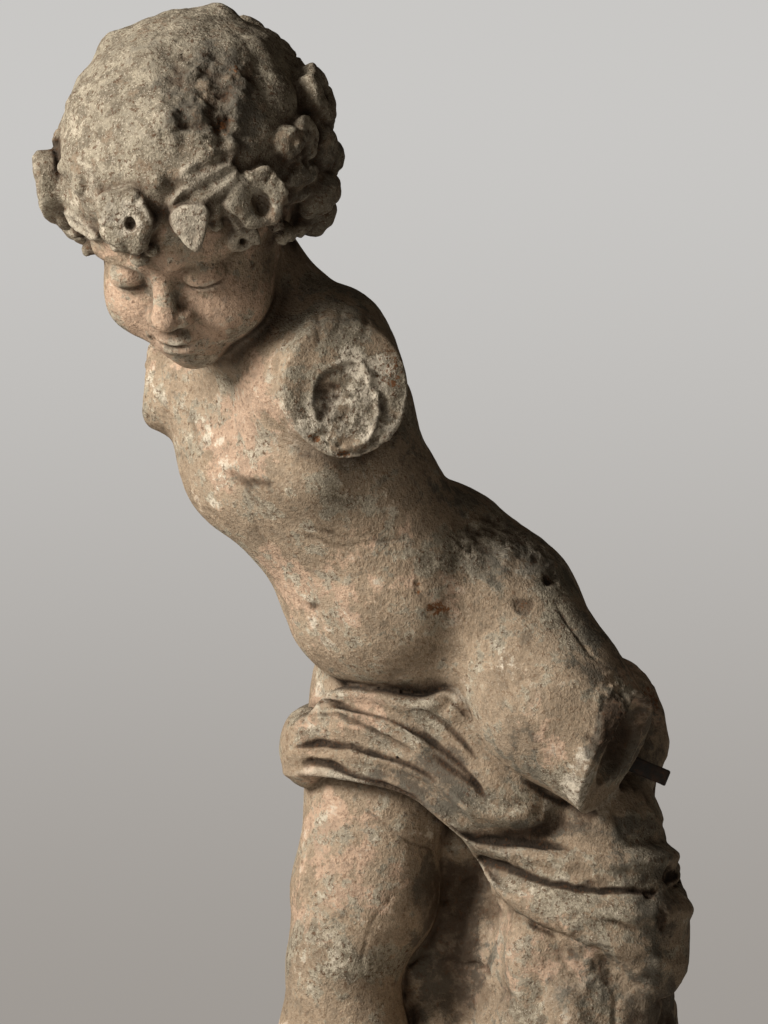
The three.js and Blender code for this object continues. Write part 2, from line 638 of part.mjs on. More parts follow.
function simplified({ positions, faces }, wanted) {
  const point = (i) => positions.slice(3 * i, 3 * i + 3);
  const P = Array.from({ length: positions.length / 3 }, (_, i) => point(i));
  const Q = P.map(() => new Float64Array(10));
  const around = P.map(() => new Set());
  const sub = (a, b) => [a[0] - b[0], a[1] - b[1], a[2] - b[2]];
  const cross = (a, b) => [a[1] * b[2] - a[2] * b[1], a[2] * b[0] - a[0] * b[2], a[0] * b[1] - a[1] * b[0]];
  const dot = (a, b) => a[0] * b[0] + a[1] * b[1] + a[2] * b[2];
  const normalOf = (a, b, c) => cross(sub(b, a), sub(c, a));
  faces.forEach((f, n) => {
    const raw = normalOf(...f.map((i) => P[i]));
    const size = Math.hypot(...raw) || 1e-12;
    const m = raw.map((x) => x / size);
    const d = -dot(m, P[f[0]]);
    const plane = [...m, d];
    let slot = 0;
    const add = [];
    for (let a = 0; a < 4; a++) for (let b = a; b < 4; b++) add[slot++] = plane[a] * plane[b] * size;
    for (const i of f) {
      add.forEach((x, s) => (Q[i][s] += x));
      around[i].add(n);
    }
  });
  const errorAt = (q, [x, y, z]) =>
    q[0] * x * x + 2 * q[1] * x * y + 2 * q[2] * x * z + 2 * q[3] * x + q[4] * y * y +
    2 * q[5] * y * z + 2 * q[6] * y + q[7] * z * z + 2 * q[8] * z + q[9];
  const best = (a, b) => {
    const q = Q[a].map((x, i) => x + Q[b][i]);
    const middle = P[a].map((x, i) => (x + P[b][i]) / 2);
    const choices = [middle, P[a], P[b]];
    const det =
      q[0] * (q[4] * q[7] - q[5] * q[5]) - q[1] * (q[1] * q[7] - q[5] * q[2]) +
      q[2] * (q[1] * q[5] - q[4] * q[2]);
    if (Math.abs(det) > SOLVABLE) {
      const solve = (c0, c1, c2) => dot(c0, cross(c1, c2)) / det;
      const [c0, c1, c2] = [[q[0], q[1], q[2]], [q[1], q[4], q[5]], [q[2], q[5], q[7]]];
      const r = [-q[3], -q[6], -q[8]];
      const exact = [solve(r, c1, c2), solve(c0, r, c2), solve(c0, c1, r)];
      const limit = FAR_SOLUTION * Math.hypot(...sub(P[a], P[b]));
      if (Math.hypot(...sub(exact, middle)) < limit) choices.push(exact);
    }
    const costs = choices.map((p) => errorAt(q, p) + STAY_PUT * dot(sub(p, middle), sub(p, middle)));
    const low = costs.indexOf(Math.min(...costs));
    return { cost: costs[low], place: choices[low] };
  };
  const heap = [];
  const push = (item) => {
    let i = heap.push(item) - 1;
    while (i > 0) {
      const up = (i - 1) >> 1;
      if (heap[up].cost <= item.cost) break;
      heap[i] = heap[up];
      i = up;
    }
    heap[i] = item;
  };
  const pop = () => {
    const top = heap[0];
    const item = heap.pop();
    if (heap.length) {
      let i = 0;
      for (;;) {
        let c = 2 * i + 1;
        if (c >= heap.length) break;
        if (c + 1 < heap.length && heap[c + 1].cost < heap[c].cost) c++;
        if (heap[c].cost >= item.cost) break;
        heap[i] = heap[c];
        i = c;
      }
      heap[i] = item;
    }
    return top;
  };
  const stamp = new Int32Array(P.length);
  const queue = (a, b) => push({ a, b, stamp: stamp[a] + stamp[b], ...best(a, b) });
  const neighbours = (i) => new Set([...around[i]].flatMap((n) => faces[n].filter((j) => j !== i)));
  P.forEach((_, i) => neighbours(i).forEach((j) => i < j && queue(i, j)));
  const alive = new Uint8Array(P.length).fill(1);
  let count = faces.length;
  while (count > wanted && heap.length) {
    const { a, b, stamp: s, place } = pop();
    if (!alive[a] || !alive[b] || s !== stamp[a] + stamp[b]) continue;
    const ring = neighbours(a);
    const shared = [...neighbours(b)].filter((i) => ring.has(i));
    if (shared.length !== 2) continue;
    const both = [...around[a]].filter((n) => around[b].has(n));
    const rest = [...around[a], ...around[b]].filter((n) => !both.includes(n));
    const folds = rest.some((n) => {
      const f = faces[n];
      const old = normalOf(...f.map((i) => P[i]));
      const now = normalOf(...f.map((i) => (i === a || i === b ? place : P[i])));
      const size = Math.hypot(...now);
      return dot(old, now) < TURN_LIMIT * Math.hypot(...old) * size || size < SLIVER;
    });
    if (folds) continue;
    P[a] = place;
    Q[b].forEach((x, i) => (Q[a][i] += x));
    for (const n of both) {
      for (const i of faces[n]) around[i].delete(n);
      faces[n] = null;
      count--;
    }
    for (const n of around[b]) {
      faces[n] = faces[n].map((i) => (i === b ? a : i));
      around[a].add(n);
    }
    alive[b] = 0;
    stamp[a] += STALE;
    for (const i of neighbours(a)) queue(a, i);
  }
  return { positions: P.flat(), faces: faces.filter(Boolean) };
}

const solids = await Module();
solids.setup();

function solidOf(geometry) {
  const bare = geometry.clone();
  bare.deleteAttribute("normal");
  bare.deleteAttribute("uv");
  const merged = mergeVertices(bare, WELD);
  return new solids.Manifold(
    new solids.Mesh({
      numProp: 3,
      vertProperties: new Float32Array(merged.attributes.position.array),
      triVerts: new Uint32Array(merged.index.array),
    }),
  );
}

function geometryOf(solid) {
  const mesh = solid.getMesh();
  const geometry = new THREE.BufferGeometry();
  geometry.setAttribute("position", new THREE.BufferAttribute(mesh.vertProperties, 3));
  geometry.setIndex(new THREE.BufferAttribute(mesh.triVerts, 1));
  return geometry;
}

// The figure, cloth and stump as one surface at the size asked for, standing on the base's top.
function carving() {
  const surface = simplified(sampled(figure(), CARVING_STEP), CARVING_FACES);
  const geometry = new THREE.BufferGeometry();
  geometry.setAttribute("position", new THREE.Float32BufferAttribute(surface.positions, 3));
  geometry.setIndex(surface.faces.flat());
  geometry.translate(0, 0, -FEET_AT).scale(SHARE, SHARE, SHARE).translate(0, 0, BASE_HEIGHT);
  return geometry;
}

// The low base: a slab with round corners and a worn bevel round the top.
function base() {
  const [w, d] = [BASE_WIDTH / 2 - BASE_BEVEL, BASE_DEPTH / 2 - BASE_BEVEL];
  const r = BASE_CORNER - BASE_BEVEL;
  const outline = new THREE.Shape();
  outline.absarc(w - r, d - r, r, 0, Math.PI / 2);
  outline.absarc(r - w, d - r, r, Math.PI / 2, Math.PI);
  outline.absarc(r - w, r - d, r, Math.PI, 1.5 * Math.PI);
  outline.absarc(w - r, r - d, r, 1.5 * Math.PI, 2 * Math.PI);
  return new THREE.ExtrudeGeometry(outline, {
    depth: BASE_HEIGHT - 2 * BASE_BEVEL,
    bevelSize: BASE_BEVEL,
    bevelThickness: BASE_BEVEL,
    bevelSegments: 2,
    curveSegments: 8,
  }).translate(0, 0, BASE_BEVEL);
}

// The flat bar, or with a gap round it the slot that it is let into, lying along its own +Z.
function strap(gap) {
  const [w, t] = [BAR_WIDTH / 2 + gap, BAR_THICKNESS / 2 + gap];
  const section = new THREE.Shape([
    new THREE.Vector2(-w, -t),
    new THREE.Vector2(w, -t),
    new THREE.Vector2(w, t),
    new THREE.Vector2(-w, t),
  ]);
  const geometry = new THREE.ExtrudeGeometry(section, { depth: BAR_LENGTH + 2 * gap, bevelEnabled: false });
  return geometry.translate(0, 0, -gap);
}

// The bar comes out of the stone low down behind the broken thigh.
function placedBar(geometry) {
  const way = vec(BAR_WAY).normalize();
  const across = new THREE.Vector3(0, 1, 0).cross(way).normalize();
  const through = way.clone().cross(across);
  const mouth = new THREE.Vector3(...BAR_MOUTH);
  mouth.z -= FEET_AT;
  mouth.multiplyScalar(SHARE);
  mouth.z += BASE_HEIGHT;
  const start = mouth.addScaledVector(way, BAR_SHOWN - BAR_LENGTH);
  return geometry.applyMatrix4(new THREE.Matrix4().makeBasis(across, through, way).setPosition(start));
}

const stone = solidOf(carving()).add(solidOf(base())).subtract(solidOf(placedBar(strap(BAR_GAP))));

const putto = new THREE.Mesh(
  geometryOf(stone),
  new THREE.MeshStandardMaterial({ color: 0xa8917a, roughness: 0.95, metalness: 0 }),
);
putto.name = "putto";

const bar = new THREE.Mesh(
  placedBar(strap(0)),
  new THREE.MeshStandardMaterial({ color: 0x2b2320, roughness: 0.75, metalness: 0.6 }),
);
bar.name = "iron_bar";

export default new THREE.Group().add(putto, bar);
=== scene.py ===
# The looks of a weathered stone putto: a child's figure without arms, bowed over a tree stump, with roses
# round its head and a cloth round its hips. A forged iron bar sticks out behind its broken thigh.

import math

import bmesh
import bpy
import numpy as np
from mathutils import Matrix, Vector


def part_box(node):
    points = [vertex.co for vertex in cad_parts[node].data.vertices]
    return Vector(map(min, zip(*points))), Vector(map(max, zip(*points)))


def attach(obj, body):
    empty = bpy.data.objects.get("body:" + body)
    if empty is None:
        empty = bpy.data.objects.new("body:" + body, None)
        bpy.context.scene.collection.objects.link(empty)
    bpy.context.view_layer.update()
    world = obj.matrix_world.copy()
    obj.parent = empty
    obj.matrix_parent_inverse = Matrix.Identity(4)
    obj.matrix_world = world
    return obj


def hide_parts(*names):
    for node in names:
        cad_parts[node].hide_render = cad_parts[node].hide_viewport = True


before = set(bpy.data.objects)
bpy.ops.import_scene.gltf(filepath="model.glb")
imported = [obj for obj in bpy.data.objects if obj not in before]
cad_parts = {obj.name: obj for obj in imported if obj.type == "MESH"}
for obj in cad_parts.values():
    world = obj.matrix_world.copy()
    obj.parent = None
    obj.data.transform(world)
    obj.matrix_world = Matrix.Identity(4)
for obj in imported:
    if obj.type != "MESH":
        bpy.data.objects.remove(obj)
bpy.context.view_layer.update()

# The figure is set out in millimetres on the frame's own size.
FIGURE_HEIGHT = 866
BASE_TOP = 54
BASE_WIDTH = 350
BASE_DEPTH = 290
BASE_CORNER = 70
BASE_BEVEL = 7
FOOTING = 6  # how far the carving runs down into the base
MM = 0.001
STONE_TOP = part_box("putto")[1].z
SHARE = (STONE_TOP / MM - BASE_TOP) / (FIGURE_HEIGHT - BASE_TOP)

# The photograph's camera: level, straight along +Y, its frame 768 by 1024 pixels.
CAMERA_PLACE = np.array([-40.0, -2500.0, 546.0])
PIXEL = 0.66  # millimetres across one pixel at the distance of the origin
PICTURE_MIDDLE = (384, 512)
PICTURE_LONG_SIDE = 1024
SENSOR = 36.0

# Mesh spacing in millimetres, first rough and then fine, and the triangles that are kept.
ROUGH_VOXELS = (2.8, 2.2)
FINE_VOXEL = 1.5
TRIANGLES_KEPT = 196000

FAR = 1e6
GOLDEN_ANGLE = math.pi * (3 - math.sqrt(5))
SIDES = (-1, 1)
SEED = 5


# Smooth joins of two signed distances, rounded over a width k.
def soft_min(a, b, k):
    h = np.maximum(k - np.abs(a - b), 0) / k
    return np.minimum(a, b) - h * h * k / 4


def soft_max(a, b, k):
    return -soft_min(-a, -b, k)


def smooth_step(low, high, x):
    t = np.clip((x - low) / (high - low), 0, 1)
    return t * t * (3 - 2 * t)


def unit(v):
    v = np.asarray(v, float)
    return v / np.linalg.norm(v)


class Axes:
    """Axes at a point: to the figure's left, to its front and up."""

    def __init__(self, origin, left, front, up):
        self.origin = np.asarray(origin, float)
        self.rows = np.array([unit(left), unit(front), unit(up)])

    def at(self, place):
        return self.origin + np.asarray(place, float) @ self.rows

    def local(self, points):
        return (points - self.origin) @ self.rows.T


def carver_axes(origin, front, up):
    up = unit(up)
    left = unit(np.cross(up, front))
    return Axes(origin, left, np.cross(left, up), up)


def seat_axes(place, outward, up):
    """Axes on a surface: front points out of it."""
    front = unit(outward)
    left = unit(np.cross(up, front))
    return Axes(place, left, front, np.cross(front, left))


WORLD = Axes((0, 0, 0), (1, 0, 0), (0, 1, 0), (0, 0, 1))


class Shape:
    """A signed distance with the ball that holds it, its own join width and a small form's rough block."""

    def __init__(self, distance, centre, reach, join=None, block=None):
        self.distance = distance
        self.centre = centre
        self.reach = reach
        self.join = join
        self.block = block

    def changed(self, distance):
        return Shape(distance, self.centre, self.reach, self.join, self.block)


def block(on, radii):
    """The matrix that turns a unit ball into a form's rough block."""
    turn = Matrix((on.rows * np.asarray(radii, float)[:, None]).T.tolist()).to_4x4()
    return Matrix.Translation(on.origin) @ turn


def blocked_out(shape, on, radii):
    return Shape(shape.distance, shape.centre, shape.reach, shape.join, block(on, radii))


def lump(on, centre, radii):
    centre = np.asarray(centre, float)
    radii = np.asarray(radii, float)

    def distance(points):
        q = (on.local(points) - centre) / radii
        k0 = np.sqrt((q * q).sum(1))
        k1 = np.sqrt(((q / radii) ** 2).sum(1))
        return k0 * (k0 - 1) / np.maximum(k1, 1e-6)

    return Shape(distance, on.at(centre), radii.max())


def limb(on, start, end, r0, r1):
    a = on.at(start)
    d = on.at(end) - a
    length2 = d @ d

    def distance(points):
        p = points - a
        t = np.clip(p @ d / length2, 0, 1)
        s = t * t * (3 - 2 * t)
        return np.linalg.norm(p - t[:, None] * d, axis=1) - r0 - (r1 - r0) * s

    return Shape(distance, a + d / 2, math.sqrt(length2) / 2 + max(r0, r1))


def ringlet(on, radius, thickness):
    """A ring lying flat on its seat."""

    def distance(points):
        a, b, c = on.local(points).T
        return np.hypot(np.hypot(a, c) - radius, b) - thickness

    return Shape(distance, on.origin, radius + thickness, None, block(on, (radius, thickness, radius)))


def leaf(start, end, outward, half_width, thickness, arch=0.0, ribs=0.0, taper=0.0):
    """A pointed leaf from stalk to tip, its face turned outward. Taper moves its width to the stalk."""
    run = end - start
    half = np.linalg.norm(run) / 2
    on = seat_axes((start + end) / 2, np.cross(run, np.cross(outward, run)), run)
    arc = (half * half + half_width**2) / (2 * half_width)

    def distance(points):
        a, b, c = on.local(points).T
        b = b + arch * (c / half) ** 2
        edge = np.hypot(np.abs(a) * (1 + taper * np.clip(c / half, -1, 1)) + arc - half_width, c) - arc
        face = np.abs(b) - thickness + ribs * np.cos(a * math.pi / half_width) ** 2
        return soft_max(edge, face, 3)

    rough = block(on, (0.9 * half_width, thickness, 0.9 * half))
    return Shape(distance, on.origin, half + thickness + arch, None, rough)


def blend(k, shapes):
    low = np.min([s.centre - s.reach for s in shapes], axis=0)
    high = np.max([s.centre + s.reach for s in shapes], axis=0)

    def distance(points):
        best = np.full(len(points), FAR)
        for s in shapes:
            join = s.join or k
            away = np.linalg.norm(points - s.centre, axis=1) - s.reach
            near = away < best + join
            if near.any():
                best[near] = soft_min(best[near], s.distance(points[near]), join)
        return best

    return Shape(distance, (low + high) / 2, np.linalg.norm(high - low) / 2)


def joined(join, shape):
    return Shape(shape.distance, shape.centre, shape.reach, join)


def broken(shape, point, normal, k):
    n = unit(normal)
    return shape.changed(lambda p: soft_max(shape.distance(p), (p - point) @ n, k))


def hollowed(shape, tool, k):
    """A shape with another cut out of it, worked out only near the tool."""
    reach = tool.reach + k + 6

    def distance(points):
        d = shape.distance(points)
        near = np.linalg.norm(points - tool.centre, axis=1) < reach
        if near.any():
            d[near] = soft_max(d[near], -tool.distance(points[near]), k)
        return d

    return shape.changed(distance)


def carved(shape, depth_at):
    """A shape cut back by a depth that is given for each point."""
    return shape.changed(lambda p: shape.distance(p) + depth_at(p))


# Places in the photograph, in pixels.
def pixels_of(points):
    scale = PIXEL * (points[:, 1] - CAMERA_PLACE[1]) / -CAMERA_PLACE[1]
    u = PICTURE_MIDDLE[0] + (points[:, 0] - CAMERA_PLACE[0]) / scale
    v = PICTURE_MIDDLE[1] - (points[:, 2] - CAMERA_PLACE[2]) / scale
    return u, v


def sight_line(u, v):
    across = (u - PICTURE_MIDDLE[0]) * PIXEL / -CAMERA_PLACE[1]
    down = (v - PICTURE_MIDDLE[1]) * PIXEL / -CAMERA_PLACE[1]
    return np.array([across, 1.0, -down])


# The head is bowed, and turned a little to the figure's right.
HEAD = carver_axes((-161, -100, 745), (-0.25, -0.687, -0.682), (-0.233, -0.641, 0.731))
HAIR_CENTRE = np.array([1.0, -15.0, 22.0])
HAIR_RADII = np.array([82.0, 96.0, 87.0])


def on_hair(u, v, proud=0.0):
    """The axes of a seat on the hair where the photograph shows a point, or at the outline beside it."""
    radii = HAIR_RADII + proud
    eye = (HEAD.local(CAMERA_PLACE[None])[0] - HAIR_CENTRE) / radii
    way = (HEAD.rows @ sight_line(u, v)) / radii
    a, b, c = way @ way, eye @ way, eye @ eye - 1
    inside = max(b * b - a * c, 0)
    place = (-b - math.sqrt(inside)) / a * way + eye
    place = unit(place) * radii + HAIR_CENTRE
    return hair_seat(place)


def turned_to_camera(on, share):
    """A seat turned by a share of the way to the camera."""
    outward = (1 - share) * on.rows[1] + share * unit(CAMERA_PLACE - on.origin)
    return seat_axes(on.origin, outward, HEAD.rows[2])


def seen_beside(u, v, place):
    """The point that the photograph shows at a pixel, as far back as another place."""
    way = sight_line(u, v)
    return CAMERA_PLACE + way * (place[1] - CAMERA_PLACE[1])


def hair_seat(place):
    outward = (place - HAIR_CENTRE) / HAIR_RADII**2
    return seat_axes(HEAD.at(place), outward @ HEAD.rows, HEAD.rows[2])


# A calm child's face on a simple canon: eyes at half height, an eye's width between the eyes.
EYE_APART = 24
EYE_UP = -9
LID_EDGE = -12.5
LOWER_LID_EDGE = -16.5
MOUTH_UP = -53


def face():
    h = HEAD
    mass = blend(14, [
        lump(h, (0, -6, 14), (70, 82, 72)),
        lump(h, (0, 34, 24), (52, 42, 40)),
        lump(h, (0, 34, -36), (52, 44, 48)),
        lump(h, (0, 34, -58), (38, 34, 24)),
        *[lump(h, (s * 29, 50, -40), (24, 23, 24)) for s in SIDES],
        *[joined(9, limb(h, (s * 10, 71, 5), (s * 40, 58, 6), 7, 6)) for s in SIDES],
        lump(h, (0, 62, -74), (16, 13, 13)),
        lump(h, (0, 66, -54), (20, 17, 16)),
    ])
    sockets = blend(4, [lump(h, (s * EYE_APART, 82, EYE_UP + 1), (15, 12, 10)) for s in SIDES])
    skin = hollowed(mass, sockets, 8)
    for s in SIDES:
        across = s * EYE_APART
        eye = lump(h, (across, 62, EYE_UP), (13.4, 11.4, 11.4))
        lid = lump(h, (across, 62.4, EYE_UP + 0.5), (15.4, 14.6, 13.2))
        lid = broken(lid, h.at((0, 74, LID_EDGE)), -h.rows[2] + 0.15 * h.rows[1], 1)
        under = lump(h, (across, 61.6, EYE_UP - 1), (15, 13.8, 12.6))
        under = broken(under, h.at((0, 74, LOWER_LID_EDGE)), h.rows[2], 1)
        skin = blend(2.5, [skin, joined(1, eye), joined(1.5, lid), joined(4, under)])
    nose = blend(4, [
        joined(7, limb(h, (0, 71, -3), (0, 83, -27), 6, 8)),
        lump(h, (0, 86, -30), (9, 8.5, 8)),
        *[lump(h, (s * 9.5, 79.5, -33), (6.2, 8, 6)) for s in SIDES],
    ])
    for s in SIDES:
        nose = hollowed(nose, lump(h, (s * 5.2, 84, -39), (2.8, 4, 3.4)), 2)
    lips = blend(3, [
        *[lump(h, (s * 5.5, 77.5, MOUTH_UP + 4), (9.5, 8.5, 4.2)) for s in SIDES],
        lump(h, (0, 79.5, MOUTH_UP + 3), (5, 7, 4)),
        *[lump(h, (s * 3.5, 77, MOUTH_UP - 5), (8.5, 8.5, 5)) for s in SIDES],
    ])
    skin = blend(4, [skin, joined(5, nose), joined(3, lips)])
    skin = hollowed(skin, lump(h, (0, 86, MOUTH_UP - 0.2), (14.5, 4.5, 0.8)), 1)
    skin = hollowed(skin, limb(h, (0, 86, -41), (0, 87.5, -46), 2.2, 2.8), 3)
    skin = hollowed(skin, lump(h, (0, 85, MOUTH_UP - 13), (12, 5, 3.4)), 6)
    for s in SIDES:
        skin = hollowed(skin, lump(h, (s * 17.5, 81.5, MOUTH_UP), (3, 4, 3)), 4)
    return skin


# The hair is worn smooth on the crown. Its curls are left at the sides and the nape.
CROWN_LUMPS = 38
# Broad locks on the crown that the photograph shows: their two ends in pixels, and radius in millimetres.
CROWN_LOCKS = (
    ((254, 58), (284, 118), 10), ((232, 78), (262, 136), 8),
    ((284, 66), (312, 112), 8), ((196, 118), (206, 158), 8),
)
CURL_ROWS = (
    {"up": 16, "out": 82, "size": 15, "start": 100, "end": 296, "count": 10},
    {"up": -10, "out": 79, "size": 15, "start": 92, "end": 284, "count": 10},
    {"up": -36, "out": 67, "size": 15, "start": 100, "end": 262, "count": 8},
)
OVAL_BACK = 12  # how far the ovals of curls and flowers are set back from the head's middle
# Curls that the photograph shows: pixel across and down, half width and half height in millimetres.
SEEN_CURLS = (
    (286, 147, 13, 13), (311, 117, 10, 18), (334, 118, 9, 10), (345, 167, 9, 11), (339, 199, 10, 10),
    (311, 205, 10, 11), (298, 176, 8, 9), (306, 232, 8, 7), (286, 236, 9, 7), (325, 146, 9, 12),
    (57, 143, 5, 9), (85, 187, 8, 8), (72, 239, 6, 5), (88, 254, 6, 5), (325, 222, 9, 9),
)


def round_head(degrees, across, ahead, up):
    """A place on an oval round the head, in the head's own axes."""
    turn = math.radians(degrees)
    return np.array([across * math.sin(turn), ahead * math.cos(turn) - OVAL_BACK, up])


def curl(on, wide, high, windings):
    """A round curl with a worn spiral cut in it."""
    body = lump(on, (0, 0, 0), (wide, 0.8 * min(wide, high) + 2, high))

    def strands(points):
        a, _, c = on.local(points).T
        r = np.hypot(a / wide, c / high)
        spiral = 0.5 + 0.5 * np.cos(np.arctan2(c, a) - r * windings)
        return 1.5 * spiral**3 * smooth_step(0.15, 0.45, r) * smooth_step(1.5, 1.0, r)

    return blocked_out(carved(body, strands), on, (wide, 0.8 * min(wide, high), high))


def curls():
    shapes = []
    for row in CURL_ROWS:
        for i in range(row["count"]):
            degrees = row["start"] + (row["end"] - row["start"]) * i / (row["count"] - 1)
            place = round_head(degrees, row["out"], 1.1 * row["out"], row["up"])
            shapes.append(curl(hair_seat(place), row["size"], row["size"] + 2, 9))
    for u, v, wide, high in SEEN_CURLS:
        shapes.append(curl(on_hair(u, v, -1), wide, high, 7))
    return shapes


def hair(locks):
    h = HEAD
    cap = broken(lump(h, HAIR_CENTRE, HAIR_RADII), h.at((0, 72, 36)), -h.rows[2] + 0.6 * h.rows[1], 8)
    worn = []
    for i in range(CROWN_LUMPS):
        up = 1 - (i + 0.5) / CROWN_LUMPS
        turn = i * GOLDEN_ANGLE
        ring = math.sqrt(1 - up * up)
        way = np.array([ring * math.sin(turn), ring * math.cos(turn), up])
        place = HAIR_CENTRE + way * (HAIR_RADII - 12)
        size = 14 + 3 * math.sin(5 * turn)
        if place[2] > 20:
            worn.append(lump(h, place, (size, size, size)))
    for start, end, size in CROWN_LOCKS:
        a, b = on_hair(*start, -6), on_hair(*end, -6)
        worn.append(limb(WORLD, a.origin, b.origin, size, 0.8 * size))
    return blend(6, [cap, *worn, *[joined(4, lock) for lock in locks]])


# The roses of the wreath that the photograph shows: middle in pixels, radius and height, how proud it stands,
# its eye (across, up, half width, half height), how deep it is dished, its lobes and its turn to the camera.
ROSE_THICKNESS = 8
SEEN_ROSES = (
    ((127, 222), 18, 21, 6, (4, -2, 2.8, 4.2), 0, 5, 0.5),
    ((258, 200), 19, 19, 7, (1, -5, 7, 10), 8, 6, 0.75),
    ((46, 186), 17, 23, 8, (0, 0, 4, 5), 2, 5, 0),
)
# The others, by how far round the head they sit in degrees, and the leaves beside each of them.
BACK_ROSES = (110, 170, 230)
BACK_LEAVES = ((-30, 6), (-30, -12), (30, -3))
WREATH_UP = 40


def rose(on, radius, high, eye, dish, lobes):
    """A round flower: a plate with lobes for its worn petals, dished towards the eye in the middle."""
    eye_across, eye_up, eye_wide, eye_high = eye

    def plate(points):
        a, b, c = on.local(points).T
        turn = np.arctan2(c, a)
        r = np.hypot(a / radius, c / high)
        lobed = 1 + 0.06 * np.cos(lobes * turn + 1) + 0.04 * np.sin(3 * turn)
        edge = (r / lobed - 1) * min(radius, high)
        bowl = np.exp(-np.hypot((a - eye_across) / eye_wide, (c - eye_up) / eye_high) ** 2 / 6)
        parting = np.exp(-((np.sin(lobes * turn / 2 + 1.1) / 0.25) ** 2)) * smooth_step(0.35, 0.8, r)
        curl_back = 2.5 * smooth_step(0.55, 1.1, r)
        top = b - ROSE_THICKNESS + dish * bowl + 1.3 * parting + curl_back
        return soft_max(soft_max(edge, top, 3), -b - ROSE_THICKNESS, 3)

    hole = lump(on, (eye_across, ROSE_THICKNESS, eye_up), (eye_wide, ROSE_THICKNESS + dish, eye_high))
    body = Shape(plate, on.origin, max(radius, high) * 1.15, None, block(on, (radius, ROSE_THICKNESS, high)))
    return hollowed(body, hole, 2)


# Leaves: stalk and tip in pixels, half width, thickness, how proud they stand, their ribs and their taper.
# One with a taper hangs straight down from its stalk.
SEEN_LEAVES = (
    ((166, 214), (240, 168), 11, 3.2, 4, 2.2, 0),
    ((176, 182), (240, 153), 8, 3, 2, 1.2, 0),
    ((186, 206), (198, 256), 11, 2.6, 4, 0, 0.6),
    ((224, 206), (262, 248), 6, 3, 2, 0.6, 0),
    ((104, 205), (74, 158), 9, 3, 1, 1, 0),
    ((100, 240), (64, 214), 8, 3, 2, 1, 0),
    ((286, 184), (318, 172), 8, 3, 2, 1, 0),
)
# Buds, berries and knobs: pixel across and down, and radius in millimetres.
SEEN_BUDS = (
    (157, 184, 6.5), (141, 260, 6), (215, 213, 4.6), (217, 227, 4.6), (118, 247, 4.5), (152, 252, 4.5),
    (206, 160, 5), (232, 148, 5), (66, 170, 5),
)
RINGLET_AT = (243, 240)


def back_flowers(turn):
    """A rose round the back of the head, with its leaves."""
    place = round_head(turn, 88, 96, WREATH_UP - 4 * math.cos(math.radians(turn)))
    shapes = [rose(hair_seat(place), 19, 19, (2, -2, 5, 5), 3, 6)]
    for side, lift in BACK_LEAVES:
        tip = round_head(turn + side, 87, 96, WREATH_UP + lift)
        stalk = round_head(turn + side / 2, 86, 95, WREATH_UP)
        outward = hair_seat((tip + stalk) / 2).rows[1]
        shapes.append(leaf(HEAD.at(stalk), HEAD.at(tip), outward, 9, 3.5, 1, 0.8))
    return shapes


def flowers():
    shapes = []
    for at, radius, high, proud, eye, dish, lobes, turn in SEEN_ROSES:
        on = turned_to_camera(on_hair(*at, proud), turn)
        shapes.append(rose(on, radius, high, eye, dish, lobes))
    for turn in BACK_ROSES:
        shapes.extend(back_flowers(turn))
    for stalk_at, tip_at, half_width, thickness, proud, ribs, taper in SEEN_LEAVES:
        stalk = on_hair(*stalk_at, proud)
        tip = on_hair(*tip_at, proud)
        outward = stalk.rows[1] + tip.rows[1]
        end = tip.origin
        if taper:
            end = seen_beside(*tip_at, stalk.origin)
            outward = CAMERA_PLACE - stalk.origin
        shapes.append(leaf(stalk.origin, end, outward, half_width, thickness, 0, ribs, taper))
    for u, v, radius in SEEN_BUDS:
        on = on_hair(u, v, 0)
        radii = (radius, radius, radius)
        shapes.append(blocked_out(lump(on, (0, 0, 0), radii), on, radii))
    shapes.append(ringlet(on_hair(*RINGLET_AT, -2), 6.5, 3.6))
    return shapes


# The torso leans forward and to the figure's right.
TORSO = carver_axes((3, 25, 464), (-0.51, -0.59, -0.62), (-0.56, -0.32, 0.765))


def torso():
    t = TORSO
    mass = blend(24, [
        lump(t, (0, -2, 0), (68, 62, 56)),
        lump(t, (-2, 22, 54), (72, 62, 62)),
        lump(t, (-2, 5, 100), (70, 58, 58)),
        lump(t, (-5, 6, 148), (80, 62, 66)),
        lump(t, (-6, 0, 190), (78, 46, 38)),
        *[lump(t, (s * 30 - 4, 42, 168), (34, 18, 22)) for s in SIDES],
        lump(WORLD, (-139, 6, 594), (36, 42, 44)),
        lump(WORLD, (0, 20, 520), (41, 38, 41)),
        *[lump(t, (s * 34, -34, 172), (32, 20, 32)) for s in SIDES],
        lump(t, (34, -32, -14), (42, 42, 46)),
        lump(t, (-32, -36, -12), (44, 44, 50)),
        lump(t, (42, -8, 6), (38, 44, 48)),
        lump(t, (28, -20, 44), (36, 38, 40)),
    ])

    def creases(points):
        a, b, c = t.local(points).T
        spine = 3.5 * np.exp(-(((a + 3) / 7) ** 2)) * (b < 0)
        spine = spine * smooth_step(-10, 30, c) * smooth_step(205, 170, c)
        breast = 1.6 * np.exp(-(((a + 4) / 8) ** 2)) * (b > 0)
        breast = breast * smooth_step(60, 100, c) * smooth_step(200, 170, c)
        return spine + breast

    return carved(mass, creases)


# Both arms are broken off at the shoulder.
LEFT_SCAR = np.array([-61.0, -118.0, 616.0])
LEFT_SCAR_WAY = (0.2, -0.95, -0.1)


